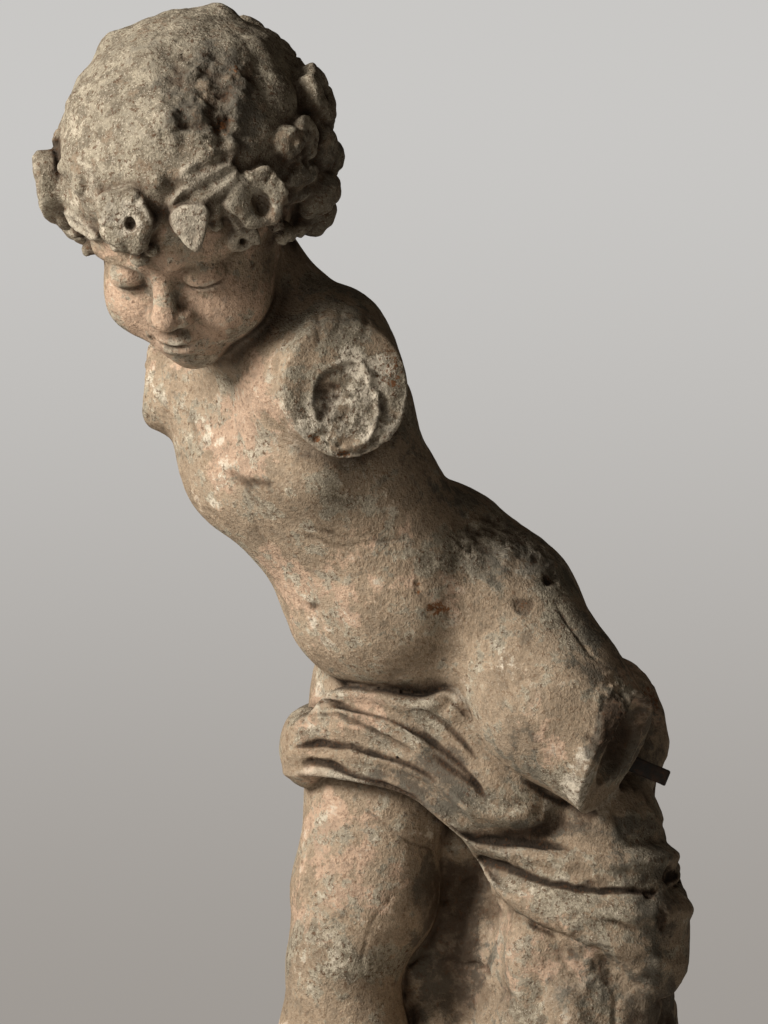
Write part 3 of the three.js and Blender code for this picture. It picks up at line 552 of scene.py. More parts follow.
def shoulders():
    w = WORLD
    left = broken(limb(w, (-78, -70, 648), (-59, -134, 612), 44, 39), LEFT_SCAR, LEFT_SCAR_WAY, 1.5)
    right = limb(w, (-128, -6, 630), (-178, 20, 630), 42, 34)
    right = broken(right, np.array([-194, 20, 632]), (-0.93, 0.25, 0.1), 3)
    right = broken(right, np.array([-194, -2, 630]), (-0.78, -0.62, 0.05), 3)
    return blend(20, [
        left,
        right,
        limb(w, (-112, -38, 640), (-140, -74, 704), 42, 40),
        limb(w, (-86, -34, 650), (-124, -52, 706), 37, 28),
        lump(w, (-104, -84, 628), (26, 30, 38)),
    ])


# The left thigh, broken off above the knee.
THIGH_BREAK = np.array([112.4, -55.0, 394.2])
THIGH_BREAK_WAY = (0.80, -0.37, -0.47)
THIGH_BREAK_DEPTH = 15


def left_thigh():
    whole = blend(10, [
        limb(WORLD, (36, -8, 482), (69, -30, 423), 49, 51),
        limb(WORLD, (69, -30, 423), (114, -52, 382), 51, 41),
    ])
    stub = broken(whole, THIGH_BREAK, THIGH_BREAK_WAY, 2)
    face = seat_axes(THIGH_BREAK, THIGH_BREAK_WAY, (0, 0, 1))
    return hollowed(stub, lump(face, (2, 0, 3), (25, THIGH_BREAK_DEPTH, 32)), 3)


# The right leg, on which the figure stands, with five toes.
TOES = 5


def right_leg():
    w = WORLD
    toes = []
    for i in range(TOES):
        across = -109 + 7.5 * i
        size = 5 + 0.7 * i
        toes.append(limb(w, (across, -24, 60), (across - 2 + 0.6 * i, -34 - 1.2 * i, 58), size, size))
    return blend(9, [
        joined(18, limb(w, (-32, 52, 425), (-53, 42, 290), 57, 46)),
        joined(18, limb(w, (-53, 42, 290), (-67, 38, 244), 46, 35)),
        joined(16, lump(w, (-72, 14, 254), (24, 14, 26))),
        joined(18, limb(w, (-67, 38, 244), (-67, 42, 190), 34, 40)),
        joined(18, limb(w, (-67, 42, 190), (-69, 50, 92), 40, 24)),
        limb(w, (-66, 56, 72), (-88, 0, 66), 24, 18),
        lump(w, (-94, -14, 62), (22, 22, 12)),
        *[joined(3, toe) for toe in toes],
    ])


# The tree stump that carries the figure, with a root form behind the leg.
TRUNKS = (
    {"x": 92, "y": 22, "top": 325, "foot": 70, "head": 56},
    {"x": 2, "y": 84, "top": 300, "foot": 46, "head": 40},
    {"x": 50, "y": 72, "top": 320, "foot": 52, "head": 44},
)
BARK_LUMPS = 24
CLEFT_SPACING = 44
CLEFT_DEPTH = 1.6


def stump():
    w = WORLD
    bark = []
    for trunk in TRUNKS:
        for i in range(BARK_LUMPS):
            turn = i * GOLDEN_ANGLE
            up = 66 + (trunk["top"] - 80) * (i + 0.5) / BARK_LUMPS
            out = trunk["foot"] + (trunk["head"] - trunk["foot"]) * (up - 60) / (trunk["top"] - 60) - 9
            place = (trunk["x"] + out * math.sin(turn), trunk["y"] - out * math.cos(turn), up)
            bark.append(lump(w, place, (16, 16, 32 + 8 * math.cos(7 * turn))))
    mass = blend(9, [
        *[limb(w, (t["x"], t["y"], 60), (t["x"], t["y"], t["top"]), t["foot"], t["head"]) for t in TRUNKS],
        *bark,
        lump(w, (98, 54, 392), (52, 46, 60)),
        lump(w, (10, 70, 330), (34, 40, 40)),
        lump(w, (-20, 96, 60), (54, 36, 26)),
        lump(w, (126, -34, 62), (40, 34, 24)),
        lump(w, (48, -28, 60), (36, 30, 22)),
    ])

    def clefts(points):
        vein = np.abs(grain(points, CLEFT_SPACING) + 0.4 * grain(points, CLEFT_SPACING / 3))
        return CLEFT_DEPTH * smooth_step(0.22, 0.0, vein) * smooth_step(400, 330, points[:, 2])

    return carved(mass, clefts)


# A height read round the hips: t is the angle from the front, in degrees, on the oval the cloth is wound on.
OVAL = {"x": 27, "y": 30, "a": 135, "b": 105, "core": 0.5}


def oval_angle(points):
    """The angle round the hips. Near the oval's middle it is read from in front, where it would spin."""
    across = (points[:, 0] - OVAL["x"]) / OVAL["a"]
    ahead = -(points[:, 1] - OVAL["y"]) / OVAL["b"]
    ahead += np.maximum(OVAL["core"] - np.hypot(across, ahead), 0)
    return np.degrees(np.arctan2(across, ahead))


def line(points, closed=False):
    """A smooth line through angles and heights, held flat past its ends unless it closes round the back."""
    p = [tuple(q) for q in points]
    if closed:
        p = [(t - 360, z) for t, z in p[-2:]] + p + [(t + 360, z) for t, z in p[:2]]
    ts, zs = np.array(p, float).T
    last = len(ts) - 1
    slopes = np.array([
        (zs[min(i + 1, last)] - zs[max(i - 1, 0)]) / (ts[min(i + 1, last)] - ts[max(i - 1, 0)])
        for i in range(last + 1)
    ])

    def height(t):
        t = np.clip(t, ts[0], ts[-1])
        i = np.clip(np.searchsorted(ts, t) - 1, 0, last - 1)
        w = ts[i + 1] - ts[i]
        s = (t - ts[i]) / w
        return (
            zs[i] * (1 + 2 * s) * (1 - s) ** 2 + zs[i + 1] * s * s * (3 - 2 * s)
            + slopes[i] * w * s * (1 - s) ** 2 + slopes[i + 1] * w * s * s * (s - 1)
        )

    return height


UPPER_HEM = line(
    [(-150, 424), (-110, 412), (-90, 404), (-79, 408), (-64, 430), (-44, 429), (-29, 424), (-15, 430),
     (0, 420), (20, 392), (38, 374), (52, 352), (70, 350), (90, 352), (120, 380), (150, 404), (178, 418)],
    closed=True,
)
LOWER_HEM = line(
    [(-150, 366), (-110, 368), (-75, 371), (-61, 370), (-44, 362), (-31, 353), (-21, 341), (-13, 330),
     (-5, 316), (3, 300), (13, 287), (25, 276), (34, 267), (43, 255), (57, 228), (71, 236), (90, 262),
     (110, 300), (140, 330), (178, 352)],
    closed=True,
)
# Folds of the cloth: how far each rises or is cut in, its half width, how round its back is, and its course.
FOLDS = (
    (4.5, 6, 2, ((-84, 402), (-64, 425), (-44, 424), (-29, 418), (-15, 424))),
    (3.5, 3.5, 2, ((-84, 400), (-63, 414), (-44, 411), (-35, 404), (-27, 393), (-19, 383))),
    (3.5, 7, 2, ((-84, 396), (-60, 405), (-44, 402), (-32, 393), (-22, 381))),
    (4.5, 6, 2, ((-84, 383), (-59, 385), (-44, 382), (-31, 376), (-17, 364), (-5, 348), (13, 342),
     (30, 346))),
    (-4, 3.4, 1.4, ((50, 336), (60, 337), (90, 338))),
    (6, 6.5, 2, ((-90, 371), (-49, 369), (-34, 361), (-21, 346), (-9, 330), (4, 324), (18, 322), (34, 319),
     (57, 319), (80, 321))),
    (-6, 3.6, 1.4, ((58, 298), (68, 298), (95, 301))),
    (4.5, 7, 2, ((-4, 306), (8, 296), (23, 288), (46, 284), (80, 284))),
    (3, 6, 2, ((30, 270), (44, 262), (58, 250), (76, 250))),
    (3.5, 5, 2, ((-16, 360), (-9, 354), (3, 349), (13, 349), (23, 352))),
    (3.2, 4.5, 2, ((-22, 410), (-12, 414), (-4, 404), (6, 388), (16, 372))),
    (2.2, 3.4, 2, ((-52, 362), (-36, 356), (-24, 344), (-12, 326), (-2, 309), (10, 296))),
    (-3, 3, 1.4, ((95, 330), (110, 344), (130, 364), (160, 388))),
    (4, 7, 2, ((85, 310), (110, 326), (140, 352), (175, 376))),
    (4, 7, 2, ((-175, 396), (-150, 396), (-125, 392), (-100, 390))),
    (-4, 3.4, 1.4, ((-175, 384), (-150, 384), (-125, 382), (-95, 380))),
    (-3, 3, 1.4, ((60, 306), (90, 312), (120, 330), (150, 352))),
)
CLOTH = 9
CLOTH_REACH = 30  # the farthest that the cloth stands off the body
CLOTH_LOW, CLOTH_HIGH = 190, 470
FOLD_FADE = 8  # degrees over which a fold fades out at either end


def drapery():
    w = WORLD
    under = blend(30, [
        limb(w, (-36, 52, 425), (-56, 42, 330), 56, 49),
        lump(w, (6, 32, 436), (62, 62, 50)),
        limb(w, (90, 22, 190), (90, 24, 288), 60, 58),
        lump(w, (96, 44, 384), (44, 46, 46)),
        lump(w, (113, 18, 268), (32, 50, 46)),
        lump(w, (34, 16, 372), (52, 50, 44)),
    ])
    bundle = lump(w, (-91, 28, 388), (19, 30, 27))
    folds = [(*fold, line(fold[-1])) for fold in FOLDS]

    def distance(points):
        d = under.distance(points)
        z = points[:, 2]
        out = np.maximum(d - CLOTH_REACH, np.maximum(z - CLOTH_HIGH, CLOTH_LOW - z))
        near = out < CLOTH_REACH
        t, z, d = oval_angle(points[near]), z[near], d[near]
        lift = np.full(len(t), float(CLOTH))
        for rise, width, power, course, height in folds:
            end = np.clip(np.minimum(t - course[0][0], course[-1][0] - t) / FOLD_FADE, 0, 1)
            on = end > 0
            x = np.abs(z[on] - height(t[on])) / width
            lift[on] += rise * smooth_step(0, 1, end[on]) * np.exp(-(x**power))
        top = (z - UPPER_HEM(t)) * 0.9
        bottom = (LOWER_HEM(t) - z) * 0.9
        out[near] = soft_max(soft_max(d - lift, top, 6), bottom, 4)
        return soft_min(out, bundle.distance(points), 5)

    return Shape(distance, under.centre, under.reach + CLOTH_REACH)


def slab():
    """The low base: a slab with round corners and worn edges."""
    w, d = BASE_WIDTH / 2, BASE_DEPTH / 2

    def distance(points):
        x = np.abs(points[:, 0]) - w + BASE_CORNER
        y = np.abs(points[:, 1]) - d + BASE_CORNER
        side = np.hypot(np.maximum(x, 0), np.maximum(y, 0)) + np.minimum(np.maximum(x, y), 0) - BASE_CORNER
        return soft_max(soft_max(side, points[:, 2] - BASE_TOP, 3 * BASE_BEVEL), -points[:, 2], 1)

    return Shape(distance, np.array([0, 0, BASE_TOP / 2]), math.hypot(w, d))


# The slot that the iron bar sits in, with the gap round it that the frame gives it.
BAR_GAP = 0.3


def bar_slot():
    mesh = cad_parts["iron_bar"].data
    corners = np.array([v.co for v in mesh.vertices]) / MM
    middle = corners.mean(0)
    _, _, rows = np.linalg.svd(corners - middle)
    half = np.abs((corners - middle) @ rows.T).max(0) + BAR_GAP

    def distance(points):
        return (np.abs((points - middle) @ rows.T) - half).max(1)

    return Shape(distance, middle, half[0] + 5)


# Value noise between -1 and 1, the same on every run.
def scattered(cells):
    h = (cells[:, 0] * 73856093) ^ (cells[:, 1] * 19349663) ^ (cells[:, 2] * 83492791) ^ (SEED * 2654435)
    h = (h ^ (h >> 13)) * 1274126177
    return ((h ^ (h >> 16)) & 0xFFFF) / 32767.5 - 1


def grain(points, size):
    q = points / size
    cell = np.floor(q).astype(np.int64)
    f = q - cell
    f = f * f * (3 - 2 * f)
    total = np.zeros(len(points))
    for corner in range(8):
        bits = np.array([corner & 1, corner >> 1 & 1, corner >> 2 & 1])
        weight = np.prod(np.where(bits, f, 1 - f), axis=1)
        total += weight * scattered(cell + bits)
    return total


def layered(points, size, layers):
    return sum(grain(points + 17.3 * i, size / 2**i) / 1.7**i for i in range(layers))


# Lines cut or cracked into the stone: half width in pixels, depth in millimetres, and course in pixels.
CUT_LINES = (
    (2.0, 0.9, ((187, 408), (201, 453), (243, 486), (253, 502), (295, 533), (342, 549), (390, 542),
     (420, 538))),
    (2.0, 0.8, ((172, 390), (208, 451), (234, 474), (272, 509), (307, 528), (342, 539), (390, 534))),
    (4.0, 1.6, ((232, 480), (270, 487), (304, 478))),
    (3.6, 1.8, ((294, 599), (313, 607), (332, 612))),
    (1.6, 1.0, ((255, 509), (257, 533), (268, 552), (281, 568))),
    (1.6, 1.3, ((551, 599), (570, 628), (589, 656), (600, 664), (617, 672))),
    (1.8, 1.4, ((501, 672), (507, 690), (516, 701))),
    (1.4, 0.8, ((277, 345), (278, 368), (276, 392))),
    (1.4, 0.8, ((398, 884), (386, 905), (372, 925), (364, 950), (361, 985))),
    (1.4, 0.8, ((318, 905), (340, 925), (352, 940))),
    (1.8, 1.2, ((355, 802), (386, 826), (411, 844), (442, 852))),
    (3.4, 1.5, ((317, 300), (319, 330), (322, 356))),
    (3.0, 1.2, ((345, 300), (340, 325), (332, 348))),
    (3.0, 1.2, ((368, 302), (366, 330), (360, 352))),
)
# The grooves between the folds of the cloth, in the same way.
CLOTH_LINES = (
    (2.6, 2.2, ((300, 701), (332, 704), (370, 716), (400, 725), (425, 737), (450, 757), (470, 777),
     (485, 800))),
    (2.4, 1.8, ((299, 716), (337, 716), (362, 726), (390, 741), (420, 755))),
    (3.0, 2.6, ((427, 751), (450, 770), (475, 786), (490, 806))),
    (2.8, 2.6, ((284, 749), (320, 744), (352, 747), (382, 757), (410, 766), (445, 787))),
    (3.0, 2.8, ((292, 768), (310, 762), (330, 765), (357, 777), (382, 785), (410, 800), (432, 820),
     (460, 835), (482, 841), (520, 843), (545, 846), (582, 846), (620, 843), (650, 838))),
    (9.0, 1.8, ((490, 834), (520, 836), (560, 830))),
    (3.2, 3.2, ((450, 856), (485, 862), (510, 870), (540, 882), (582, 890), (620, 891), (655, 892))),
    (2.4, 1.8, ((590, 920), (620, 925), (645, 936))),
    (3.2, 1.8, ((476, 680), (482, 697), (495, 720), (505, 747), (515, 765), (530, 782), (547, 796),
     (567, 804), (585, 813), (620, 811), (655, 807))),
    (2.4, 1.8, ((401, 717), (415, 711), (430, 715), (445, 725), (465, 745), (482, 766))),
    (2.2, 1.3, ((428, 700), (446, 698), (462, 712), (474, 732))),
)
# Chips and pits: pixel across and down, half width and height in pixels, depth in millimetres.
PITS = (
    (523, 606, 9, 8, 1.8), (435, 610, 8, 3, 1.0), (418, 590, 3, 6, 0.9), (316, 440, 4, 4, 0.9),
    (344, 456, 5, 3, 0.9), (672, 878, 9, 8, 3), (661, 922, 6, 10, 2.6), (650, 893, 6, 5, 2.4),
    (222, 128, 9, 9, 1.4), (548, 582, 4, 4, 1.2), (600, 884, 16, 4, 1.4), (457, 506, 11, 11, -0.6),
)
# Where the crust is coarse: across, down, half width, half height and strength.
COARSE_PATCHES = (
    (214, 104, 50, 54, 1.0), (510, 545, 66, 44, 0.9), (306, 165, 40, 60, 0.7), (612, 730, 26, 50, 1.0),
    (640, 740, 28, 56, 0.7), (560, 985, 100, 56, 0.6), (470, 930, 40, 90, 0.6), (350, 405, 52, 52, 0.6),
    (600, 880, 80, 30, 0.4), (156, 385, 14, 34, 0.7),
)


def distance_to_course(u, v, course):
    best = np.full(len(u), FAR)
    for (u0, v0), (u1, v1) in zip(course, course[1:]):
        du, dv = u1 - u0, v1 - v0
        t = np.clip(((u - u0) * du + (v - v0) * dv) / (du * du + dv * dv), 0, 1)
        best = np.minimum(best, np.hypot(u - u0 - t * du, v - v0 - t * dv))
    return best


LINE_FADE = 22  # pixels over which a line fades in at either end


def groove(u, v, half_width, depth, course):
    near = distance_to_course(u, v, course)
    to_end = np.minimum.reduce([np.hypot(u - end[0], v - end[1]) for end in (course[0], course[-1])])
    fade = smooth_step(0, min(LINE_FADE, math.dist(course[0], course[-1]) / 2), to_end)
    return depth * fade * np.exp(-((near / half_width) ** 2))


def cut_depth(points, facing, on_cloth):
    """How deep the seen lines, grooves, chips and pits are cut at each point."""
    u, v = pixels_of(points)
    wander = 1.5 * grain(points, 9) + 1.2 * grain(points, 4)
    left = 1 - 0.8 * smooth_step(0.1, 0.9, grain(points, 12))
    depth = left * sum(groove(u + wander, v + wander, *cut) for cut in CUT_LINES)
    depth += on_cloth * sum(groove(u + 0.6 * wander, v + 0.6 * wander, *cut) for cut in CLOTH_LINES)
    ragged = 0.5 * layered(points, 7, 3)
    for pu, pv, wide, high, deep in PITS:
        r = np.hypot((u - pu) / wide, (v - pv) / high) + ragged
        depth += deep * smooth_step(1.25, 0.55, r)
    return depth * facing


# The scar of the left arm: a rough disc, with the oval end of a lost repair standing in it, thin at its rim.
SCAR_AT = (351, 405)
SCAR_RADIUS = 54
SCAR_OVAL_AT = (345, 408)
SCAR_OVAL = (33, 44)


def scar_depth(points, facing):
    u, v = pixels_of(points)
    on = smooth_step(SCAR_RADIUS + 4, SCAR_RADIUS - 3, np.hypot(u - SCAR_AT[0], v - SCAR_AT[1]))
    on = on * (points[:, 2] > 560) * (points[:, 1] < -60) * facing
    du, dv = (u - SCAR_OVAL_AT[0]) / SCAR_OVAL[0], (v - SCAR_OVAL_AT[1]) / SCAR_OVAL[1]
    r = np.hypot(du, dv) + 0.09 * layered(points, 12, 3)
    right = smooth_step(-0.6, 0.7, du)
    rim = np.exp(-(((r - 1) / 0.06) ** 2)) * (0.25 + 0.75 * right)
    moat = np.exp(-(((r - 1.16) / 0.09) ** 2)) * right * smooth_step(-0.9, 0.2, dv)
    inside = smooth_step(1, 0.86, r)
    hollow = inside * (0.5 + 0.7 * smooth_step(0.3, -0.9, du + 0.6 * dv))
    lower = smooth_step(0.75, 1.05, dv)
    rough = 0.8 * layered(points, 9, 3) + 0.5 * grain(points, 4)
    return on * (1.3 * hollow - 1.8 * rim + 1.1 * moat + 0.8 * lower + rough)


# Building the carving: the frame's stone is filled out to the fine shape above.
def points_of(obj):
    co = np.empty(3 * len(obj.data.vertices))
    obj.data.vertices.foreach_get("co", co)
    return co.reshape(-1, 3) / MM


def place_points(obj, points):
    obj.data.vertices.foreach_set("co", (points * MM).ravel())
    obj.data.update()


def normals_of(obj):
    n = np.empty(3 * len(obj.data.vertices))
    obj.data.vertex_normals.foreach_get("vector", n)
    return n.reshape(-1, 3)


def to_shares(points):
    return (points - [0, 0, BASE_TOP]) / SHARE + [0, 0, BASE_TOP]


def to_size(points):
    return (points - [0, 0, BASE_TOP]) * SHARE + [0, 0, BASE_TOP]


def apply_modifier(obj, kind, **values):
    modifier = obj.modifiers.new(kind.lower(), kind)
    for name, value in values.items():
        setattr(modifier, name, value)
    shape = bpy.data.meshes.new_from_object(obj.evaluated_get(bpy.context.evaluated_depsgraph_get()))
    obj.modifiers.clear()
    old = obj.data
    obj.data = shape
    bpy.data.meshes.remove(old)
    shape.name = obj.name


def in_scene(name, data):
    obj = bpy.data.objects.new(name, data)
    bpy.context.scene.collection.objects.link(obj)
    return obj


def copy_of_node(node, name):
    """A copy of a node's mesh with its doubles merged."""
    mesh = bpy.data.meshes.new(name)
    bm = bmesh.new()
    bm.from_mesh(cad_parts[node].data)
    bmesh.ops.remove_doubles(bm, verts=bm.verts, dist=1e-6)
    bm.to_mesh(mesh)
    bm.free()
    return in_scene(name, mesh)


def block_out(obj, shapes):
    """Adds a rough block for each small form, so that the first remesh takes it in."""
    sized = Matrix.Translation((0, 0, BASE_TOP * MM)) @ Matrix.Scale(SHARE * MM, 4)
    sized = sized @ Matrix.Translation((0, 0, -BASE_TOP))
    bm = bmesh.new()
    bm.from_mesh(obj.data)
    for shape in shapes:
        bmesh.ops.create_icosphere(bm, subdivisions=3, radius=1, matrix=sized @ shape.block)
    bm.to_mesh(obj.data)
    bm.free()


def settle(obj, field, steps, stride):
    """Moves the surface along its normals on to the shape."""
    for _ in range(steps):
        points = to_shares(points_of(obj))
        away = np.clip(field.distance(points), -stride, stride)
        place_points(obj, to_size(points - normals_of(obj) * away[:, None]))


def facing_camera(points, normals):
    way = CAMERA_PLACE - points
    way /= np.linalg.norm(way, axis=1)[:, None]
    return smooth_step(0.05, 0.3, (way * normals).sum(1))


def whole_stone(parts):
    limbs = [joined(18, parts["thigh"]), joined(10, parts["leg"])]
    flesh = blend(16, [parts["torso"], parts["shoulders"], *limbs])
    head = blend(4, [parts["face"], parts["hair"], joined(2.5, parts["wreath"])])
    figure = blend(3, [
        joined(8, flesh), joined(8, head), joined(6, parts["stump"]), joined(2, parts["cloth"]),
    ])
    figure = broken(figure, np.array([0, 0, BASE_TOP - FOOTING]), (0, 0, -1), 1)
    return hollowed(blend(4, [figure, parts["slab"]]), bar_slot(), 0.5)


LOCKS = curls()
FLOWERS = flowers()
PARTS = {
    "torso": torso(), "shoulders": shoulders(), "thigh": left_thigh(), "leg": right_leg(), "face": face(),
    "hair": hair(LOCKS), "wreath": blend(2.5, FLOWERS), "stump": stump(), "cloth": drapery(), "slab": slab(),
}


def shares_of_parts(points):
    """How much each point belongs to hair, cloth, ground and face: 1 on the part, 0 a little way off it."""
    reach = {name: shape.distance(points) for name, shape in PARTS.items()}
    skin = np.minimum.reduce([reach[n] for n in ("torso", "shoulders", "thigh", "leg", "face")])

    def on(part, *others):
        rest = np.minimum.reduce(list(others))
        return smooth_step(-2, 2, rest - part)

    crust = np.minimum(reach["hair"], reach["wreath"])
    body = np.minimum(skin, crust)
    ground = np.minimum(reach["stump"], reach["slab"])
    return {
        "hair": on(crust, skin, reach["cloth"]),
        "cloth": on(reach["cloth"], body, ground),
        "ground": on(ground, body, reach["cloth"]),
        "face": on(reach["face"], crust, reach["torso"], reach["shoulders"]),
    }


# How rough the surface is: height and size of the largest grains in millimetres, and layers of finer ones.
ROUGHNESS = {
    "skin": ((0.5, 26, 2), (0.22, 8, 2)),
    "hair": ((0.8, 18, 3), (0.3, 4, 1)),
    "ground": ((1.5, 26, 4),),
}
CLOTH_ROUGHNESS = 0.3
COARSE_ROUGHNESS = 1.9


def roughness(points, kind):
    return sum(height * layered(points, size, layers) for height, size, layers in ROUGHNESS[kind])


def carve_stone():
    stone = copy_of_node("putto", "putto_carving")
    field = whole_stone(PARTS)
    block_out(stone, LOCKS + FLOWERS)
    for voxel in ROUGH_VOXELS:
        apply_modifier(stone, "REMESH", mode="VOXEL", voxel_size=voxel * MM, adaptivity=0)
        settle(stone, field, 2, voxel)
        apply_modifier(stone, "SMOOTH", factor=0.5, iterations=1)
    apply_modifier(stone, "REMESH", mode="VOXEL", voxel_size=FINE_VOXEL * MM, adaptivity=0)
    settle(stone, field, 4, FINE_VOXEL)
    points, normals = to_shares(points_of(stone)), normals_of(stone)
    facing = facing_camera(points, normals)
    on = shares_of_parts(points)
    standing = smooth_step(0.5, 6, points[:, 2])
    rough = roughness(points, "skin")
    for kind in ("hair", "ground"):
        rough = rough + on[kind] * roughness(points, kind)
    rough = rough + on["cloth"] * CLOTH_ROUGHNESS * layered(points, 10, 2)
    coarse = stained(points, facing, COARSE_PATCHES, 0.5 * layered(points, 24, 3))
    rough = rough + coarse * COARSE_ROUGHNESS * layered(points, 6.5, 3)
    away = -rough - cut_depth(points, facing, on["cloth"]) - scar_depth(points, facing)
    place_points(stone, to_size(points + normals * (away * standing)[:, None]))
    count = 2 * len(stone.data.polygons)
    apply_modifier(stone, "DECIMATE", ratio=min(1, TRIANGLES_KEPT / count))
    keep_largest(stone)
    return stone, field


def keep_largest(obj):
    """Deletes loose scraps, so that one closed surface is left."""
    bm = bmesh.new()
    bm.from_mesh(obj.data)
    seen = set()
    islands = []
    for start in bm.verts:
        if start.index in seen:
            continue
        island, stack = [], [start]
        seen.add(start.index)
        while stack:
            vert = stack.pop()
            island.append(vert)
            for edge in vert.link_edges:
                other = edge.other_vert(vert)
                if other.index not in seen:
                    seen.add(other.index)
                    stack.append(other)
        islands.append(island)
    islands.sort(key=len)
    for island in islands[:-1]:
        bmesh.ops.delete(bm, geom=island, context="VERTS")
    bmesh.ops.triangulate(bm, faces=bm.faces)
    bm.to_mesh(obj.data)
    bm.free()


# Stains, with painted shade among the grime, by their pixels: across, down, half width, half height and
# strength.
STAINS = {
    "lichen": (
        (351, 400, 66, 62, 0.9), (330, 310, 60, 60, 0.7), (500, 540, 76, 64, 0.8), (560, 600, 60, 60, 0.6),
        (500, 520, 60, 30, 0.5), (340, 960, 70, 26, 0.8), (520, 800, 110, 40, 0.5),
        (600, 870, 90, 60, 0.6), (560, 1000, 70, 40, 0.35), (240, 330, 22, 26, 0.5),
        (150, 335, 16, 16, 0.5), (265, 500, 16, 26, 0.4), (350, 500, 60, 30, 0.5), (216, 380, 26, 30, 0.4),
        (345, 560, 50, 20, 0.35),
    ),
    # Grime, and painted shade on the broken end of the thigh, the recess between leg and stump, the stump's
    # right side and the cloth under the thigh.
    "grime_and_shade": (
        (612, 728, 25, 46, 1.3), (450, 930, 40, 90, 0.9), (310, 190, 40, 60, 0.5), (645, 740, 26, 60, 0.6),
        (208, 96, 46, 50, 0.75), (236, 134, 34, 30, 0.5), (560, 560, 60, 50, 0.6), (600, 640, 44, 60, 0.6),
        (470, 490, 50, 30, 0.5), (440, 785, 60, 44, 0.8), (340, 310, 60, 34, 0.35),
        (655, 920, 30, 70, 0.7), (420, 430, 60, 60, 0.3), (650, 1000, 34, 50, 1.0),
        (575, 830, 90, 16, 0.7), (326, 392, 14, 22, 0.6), (590, 985, 90, 40, 0.5), (640, 860, 40, 24, 0.5),
        (520, 760, 40, 40, 0.3), (515, 552, 50, 36, 0.55), (480, 800, 30, 20, 0.4),
    ),
    "warm": (
        (240, 430, 44, 60, 1.0), (290, 600, 70, 60, 0.9), (190, 320, 80, 60, 0.7), (340, 860, 60, 90, 0.8),
        (350, 720, 70, 40, 0.8), (520, 960, 70, 60, 0.6), (640, 700, 30, 60, 0.7), (400, 560, 80, 50, 0.4),
        (560, 740, 50, 50, 0.4),
    ),
    "pale": (
        (582, 776, 12, 24, 1.0), (356, 375, 34, 40, 0.7), (345, 410, 40, 44, 0.8),
        (520, 556, 46, 30, 0.45), (500, 670, 20, 30, 0.45), (124, 215, 24, 28, 0.6),
        (255, 180, 30, 24, 0.5), (330, 690, 60, 10, 0.35), (672, 878, 8, 7, 0.8), (661, 920, 6, 9, 0.6),
        (420, 830, 70, 16, 0.4), (655, 965, 12, 12, 0.6), (318, 625, 44, 40, 0.15),
        (345, 730, 50, 24, 0.25), (572, 788, 22, 18, 0.8), (200, 400, 30, 26, 0.25),
        (160, 385, 14, 34, 0.3), (215, 460, 14, 40, 0.3),
    ),
    "rust": (
        (222, 131, 9, 10, 0.9), (316, 440, 5, 5, 1.0), (344, 456, 6, 4, 1.0), (523, 606, 9, 7, 0.45),
        (435, 610, 10, 4, 1.0), (418, 590, 4, 7, 1.0), (655, 692, 16, 20, 0.5), (390, 366, 12, 20, 0.5),
        (234, 72, 4, 4, 0.8), (200, 72, 3, 3, 0.8),
    ),
}
# Painted deep shade: the broken end of the thigh, the recess between leg and stump, and smaller places at the
# right of the stump and of the hair.
SHADE_PATCHES = (
    (613, 728, 16, 40, 0.66), (456, 920, 32, 76, 0.45), (470, 1000, 30, 30, 0.4), (668, 905, 12, 40, 0.3),
    (330, 200, 16, 50, 0.25),
)


def stained(points, facing, patches, ragged):
    u, v = pixels_of(points)
    level = np.zeros(len(points))
    for pu, pv, wide, high, strength in patches:
        r = np.hypot((u - pu) / wide, (v - pv) / high) + ragged
        level = np.maximum(level, strength * smooth_step(1.25, 0.5, r))
    return level * facing


# How far off the surface open air is looked for, in millimetres, and how much each distance counts. The less
# open air, the darker the colour: painted shade in the hollows, with dirt.
OPEN_AIR = ((3, 0.45), (9, 0.35), (22, 0.2))
RIDGE_DEPTH = 5
# Dirt and painted shade in the cuts: how much each millimetre of depth counts, and the depth past which it
# counts no more.
CUT_DIRT_AND_SHADE = 0.07
CUT_DIRT_AND_SHADE_DEPTH = 3


